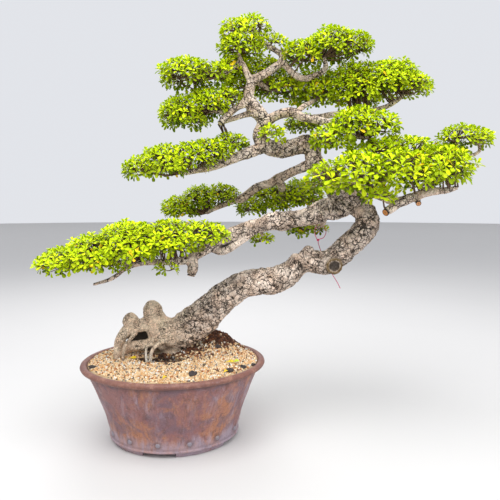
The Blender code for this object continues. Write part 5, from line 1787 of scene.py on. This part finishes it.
def pot_shape():
    """The pot's section, smoothed and carried round an oval, with its reach changed a little by soft
    noise so that it looks thrown by hand."""
    section = np.array(POT_SECTION, float)
    section = smooth_route(np.column_stack([section[:, 0], np.zeros(len(section)), section[:, 1]]), POT_STEP)
    reach, height = section[1:-1, 0], np.maximum(section[1:-1, 2], 0)
    turn = turns(POT_SECTORS)
    circle = np.stack(np.broadcast_arrays(np.cos(turn), np.sin(turn), height[:, None] / WOBBLE_RISE), axis=-1)
    wobble = POT_WOBBLE * (2 * named_noise(circle.reshape(-1, 3), "pot") - 1)
    out = reach[:, None] + wobble.reshape(len(reach), -1) * smooth_step(*WOBBLE_REACH, reach)[:, None]
    x, y = spun(out * np.cos(turn), POT_OVAL * out * np.sin(turn), POT_TURN)
    points = np.stack(np.broadcast_arrays(x, y, height[:, None]), axis=-1).reshape(-1, 3)
    return capped(points, len(reach), POT_SECTORS)


def groove_at(points, groove):
    """How much each point lies in a groove: a bell curve over its height, within its reach."""
    height, width, least, most = groove
    reach = pot_share(points[:, 0], points[:, 1]) * SOIL_RIM
    return bell((points[:, 2] - height) / width, 1) * (reach > least) * (reach < most)


def stud_places():
    """Where each stud sits on the wall and which way it faces."""
    reach, height = STUD_RING
    spin = Matrix.Rotation(POT_TURN, 3, "Z")
    places = []
    for number in range(STUD_COUNT):
        angle = 2 * math.pi * (number + STUD_PHASE) / STUD_COUNT
        at = spin @ Vector((reach * math.cos(angle), reach * POT_OVAL * math.sin(angle), height))
        facing = spin @ Vector((math.cos(angle), math.sin(angle) / POT_OVAL, 0))
        places.append((tuple(at), tuple(facing)))
    return places


def block(size, middle, turn):
    """A rectangular block turned about Z."""
    x, y, z = (np.array(CUBE_CORNERS, float) * np.array(size) / 2).T
    return np.column_stack([*spun(x, y, turn), z]) + middle, np.array(CUBE_FACES)


class BONSAI_OT_pot(bpy.types.Operator):
    """Builds the oval stoneware pot with its feet, drain holes and studs, and dresses the drain screens"""

    bl_idname = "bonsai.pot"
    bl_label = "Pot"

    def execute(self, context):
        finish = make_clay(context.scene.bonsai_pot)
        middle = (0, 0, (FOOT_SLOT_HEIGHT - CUT_PAST) / 2)
        tall = FOOT_SLOT_HEIGHT + CUT_PAST
        slots = ((FOOT_SLOT_LENGTH, FOOT_SLOT_SIDE, tall), (FOOT_SLOT_FRONT, FOOT_SLOT_LENGTH, tall))
        cutters = [block(size, middle, FOOT_TURN) for size in slots]
        for side in (-1, 1):
            points, faces = turned(((DRAIN_RADIUS, -CUT_PAST), (DRAIN_RADIUS, DRAIN_TOP)), DRAIN_SIDES)
            cutters.append((points + (side * DRAIN_OFFSET, 0, 0), faces))
        body = new_mesh("pot_body", *pot_shape())
        for cutter in cutters:
            tool = in_scene("cutter", new_mesh("cutter", *cutter))
            body = with_modifier(body, "BOOLEAN", operation="DIFFERENCE", object=tool, solver="MANIFOLD")
            bpy.data.objects.remove(tool)
        points = points_of(body)
        middles = np.array([at for at, _ in stud_places()])
        away = np.linalg.norm(points[:, None] - middles[None], axis=2).min(axis=1)
        # Painted shade round each stud and in the grooves.
        halo = STUD_HALO_SHARE * bell((away - STUD_HALO[0]) / STUD_HALO[1], 1)
        foot = FOOT_GROOVE_SHARE * groove_at(points, ABOVE_FOOT)
        mark(body, "groove", np.maximum(np.maximum(groove_at(points, UNDER_LIP), foot), halo))
        mark(body, "stud", np.zeros(len(points)))
        body.materials.clear()
        piece("pot_body", body, finish, ["pot"], sharp=SHARP_POT)
        self.make_studs(finish)
        self.dress_screens()
        return {"FINISHED"}

    def make_studs(self, finish):
        """Nail-head studs: turned domes that face out of the wall."""
        shapes = [aimed(turned(STUD_PROFILE, STUD_SIDES), at, facing) for at, facing in stud_places()]
        mesh = new_mesh("pot_studs", *joined(shapes))
        mark(mesh, "groove", np.zeros(len(mesh.vertices)))
        mark(mesh, "stud", np.ones(len(mesh.vertices)))
        piece("pot_studs", mesh, finish)

    def dress_screens(self):
        """The drain screens keep their CAD shape and get a moulded plastic."""
        finish, tree, shader = new_finish("black_plastic_mesh")
        dust = cloud(tree, "screen_dust")
        shown = tinted(tree, dust, COLOURS["screen"], COLOURS["screen_dust"])
        bumps = raised(tree, grain(tree, "screen_fine"), "screen")
        dress(tree, shader, shown, ranged(tree, dust, "screen_gloss"), bumps)
        for name in ("drain_screen_left", "drain_screen_right"):
            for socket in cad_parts[name].material_slots:
                socket.material = finish


class BONSAI_OT_string(bpy.types.Operator):
    """Builds the thin string that is tied over a twig, and its knot"""

    bl_idname = "bonsai.string"
    bl_label = "Tied String"

    def execute(self, context):
        settings = context.scene.bonsai_string
        finish, tree, shader = new_finish("pink_string")
        twist = node(
            tree, "TexWave", {"Vector": place(tree), **TWIST_WAVE}, bands_direction="DIAGONAL",
        ).outputs["Fac"]
        faded = tinted(tree, cloud(tree, "string_fading"), settings.colour, COLOURS["faded_string"])
        shown = lightened(tree, faded, ranged(tree, twist, "string_twist"))
        dress(tree, shader, shown, ranged(tree, twist, "string_gloss"), raised(tree, twist, "string"))
        route = smooth_route(STRING_ROUTE, STRING_STEP)
        radius = settings.diameter / MM / 2
        mesh = new_mesh("tie_string", *tube(route, np.full((len(route), STRING_SIDES), radius)))
        strand = piece("string_strand", mesh, finish, ["tie_string"])
        turn = np.linspace(0, 2 * math.pi * KNOT_TURNS, KNOT_POINTS)
        coil = np.column_stack([
            KNOT_RADIUS * np.cos(turn),
            KNOT_RADIUS * np.sin(turn) * KNOT_OVAL,
            (turn / turn[-1] - 0.5) * KNOT_TURNS * KNOT_RISE,
        ])
        wound = tube(coil, np.full((len(coil), STRING_SIDES), KNOT_STRAND))
        mesh = new_mesh("string_knot", *aimed(wound, STRING_KNOT_AT, KNOT_FACING))
        knot = piece("string_knot", mesh, finish)
        return {"FINISHED"}


class BONSAI_OT_stage(bpy.types.Operator):
    """Sets the floor, the lights and the camera"""

    bl_idname = "bonsai.stage"
    bl_label = "Stage"

    def execute(self, context):
        settings = context.scene.bonsai_stage
        self.make_floor(settings)
        self.make_lights(settings)
        self.make_camera()
        return {"FINISHED"}

    def make_floor(self, settings):
        """A wide pale disc just under the feet of the pot."""
        finish, tree, shader = new_finish("studio_floor")
        drifted = tuple(FLOOR_DRIFT * part for part in settings.floor_colour)
        shown = tinted(tree, grain(tree, "floor_drift"), settings.floor_colour, drifted)
        dress(tree, shader, shown, cloud(tree, "floor_gloss"))
        reach = settings.floor_reach / MM
        mesh = new_mesh("studio_floor", *turned([(reach, height) for height in FLOOR_DEPTHS], FLOOR_SIDES))
        mesh.materials.append(finish)
        in_scene("studio_floor", mesh)

    def make_lights(self, settings):
        """An even sky and three large lamps."""
        scene = bpy.context.scene
        scene.world = bpy.data.worlds.new("studio_sky")
        scene.world.use_nodes = True
        sky = scene.world.node_tree.nodes["Background"]
        sky.inputs["Color"].default_value = SKY_COLOUR
        sky.inputs["Strength"].default_value = settings.sky_strength
        scene.view_settings.view_transform = "Standard"
        for name, (at, size, share) in LAMPS.items():
            lamp = bpy.data.lights.new(name, "AREA")
            lamp.size = size
            lamp.energy = settings.lamp_power * share
            stand = in_scene(name, lamp)
            stand.location = at
            aim = Vector(LAMP_TARGET) - Vector(at)
            stand.rotation_euler = aim.to_track_quat("-Z", "Y").to_euler()

    def make_camera(self):
        """The camera that sees the tree as the photograph does."""
        lens = bpy.data.cameras.new("photo_view")
        lens.sensor_width = CAMERA_LENS
        lens.lens = CAMERA_LENS
        camera = in_scene("photo_view", lens)
        camera.location = Vector(ORIGIN) + Vector(CAMERA_AT)
        camera.rotation_euler = (math.pi / 2 - CAMERA_PITCH, 0, 0)
        bpy.context.scene.camera = camera


class BONSAI_PT_panel(bpy.types.Panel):
    """Lists what the bonsai is built from"""

    bl_idname = "BONSAI_PT_panel"
    bl_label = "Bonsai"
    bl_space_type = "VIEW_3D"
    bl_region_type = "UI"
    bl_category = "Bonsai"

    def draw(self, context):
        for operator, group in zip(OPERATORS, GROUPS):
            column = self.layout.column(align=True)
            column.operator(operator.bl_idname)
            settings = getattr(context.scene, group)
            for name in settings.__annotations__:
                column.prop(settings, name)


GROUPS = {
    "bonsai_stage": StageSettings,
    "bonsai_string": StringSettings,
    "bonsai_pot": PotSettings,
    "bonsai_grit": GritSettings,
    "bonsai_wood": WoodSettings,
    "bonsai_leaves": LeafSettings,
}
OPERATORS = (
    BONSAI_OT_stage, BONSAI_OT_string, BONSAI_OT_pot, BONSAI_OT_grit, BONSAI_OT_wood, BONSAI_OT_foliage,
)
CLASSES = (*GROUPS.values(), *OPERATORS, BONSAI_PT_panel)


def register():
    for cls in CLASSES:
        bpy.utils.register_class(cls)
    for name, group in GROUPS.items():
        setattr(bpy.types.Scene, name, bpy.props.PointerProperty(type=group))


def unregister():
    for name in GROUPS:
        delattr(bpy.types.Scene, name)
    for cls in reversed(CLASSES):
        bpy.utils.unregister_class(cls)


def main():
    register()
    bpy.ops.bonsai.stage()
    bpy.ops.bonsai.string()
    bpy.ops.bonsai.pot()
    bpy.ops.bonsai.grit()
    bpy.ops.bonsai.wood()
    bpy.ops.bonsai.foliage()


if __name__ == "__main__":
    main()
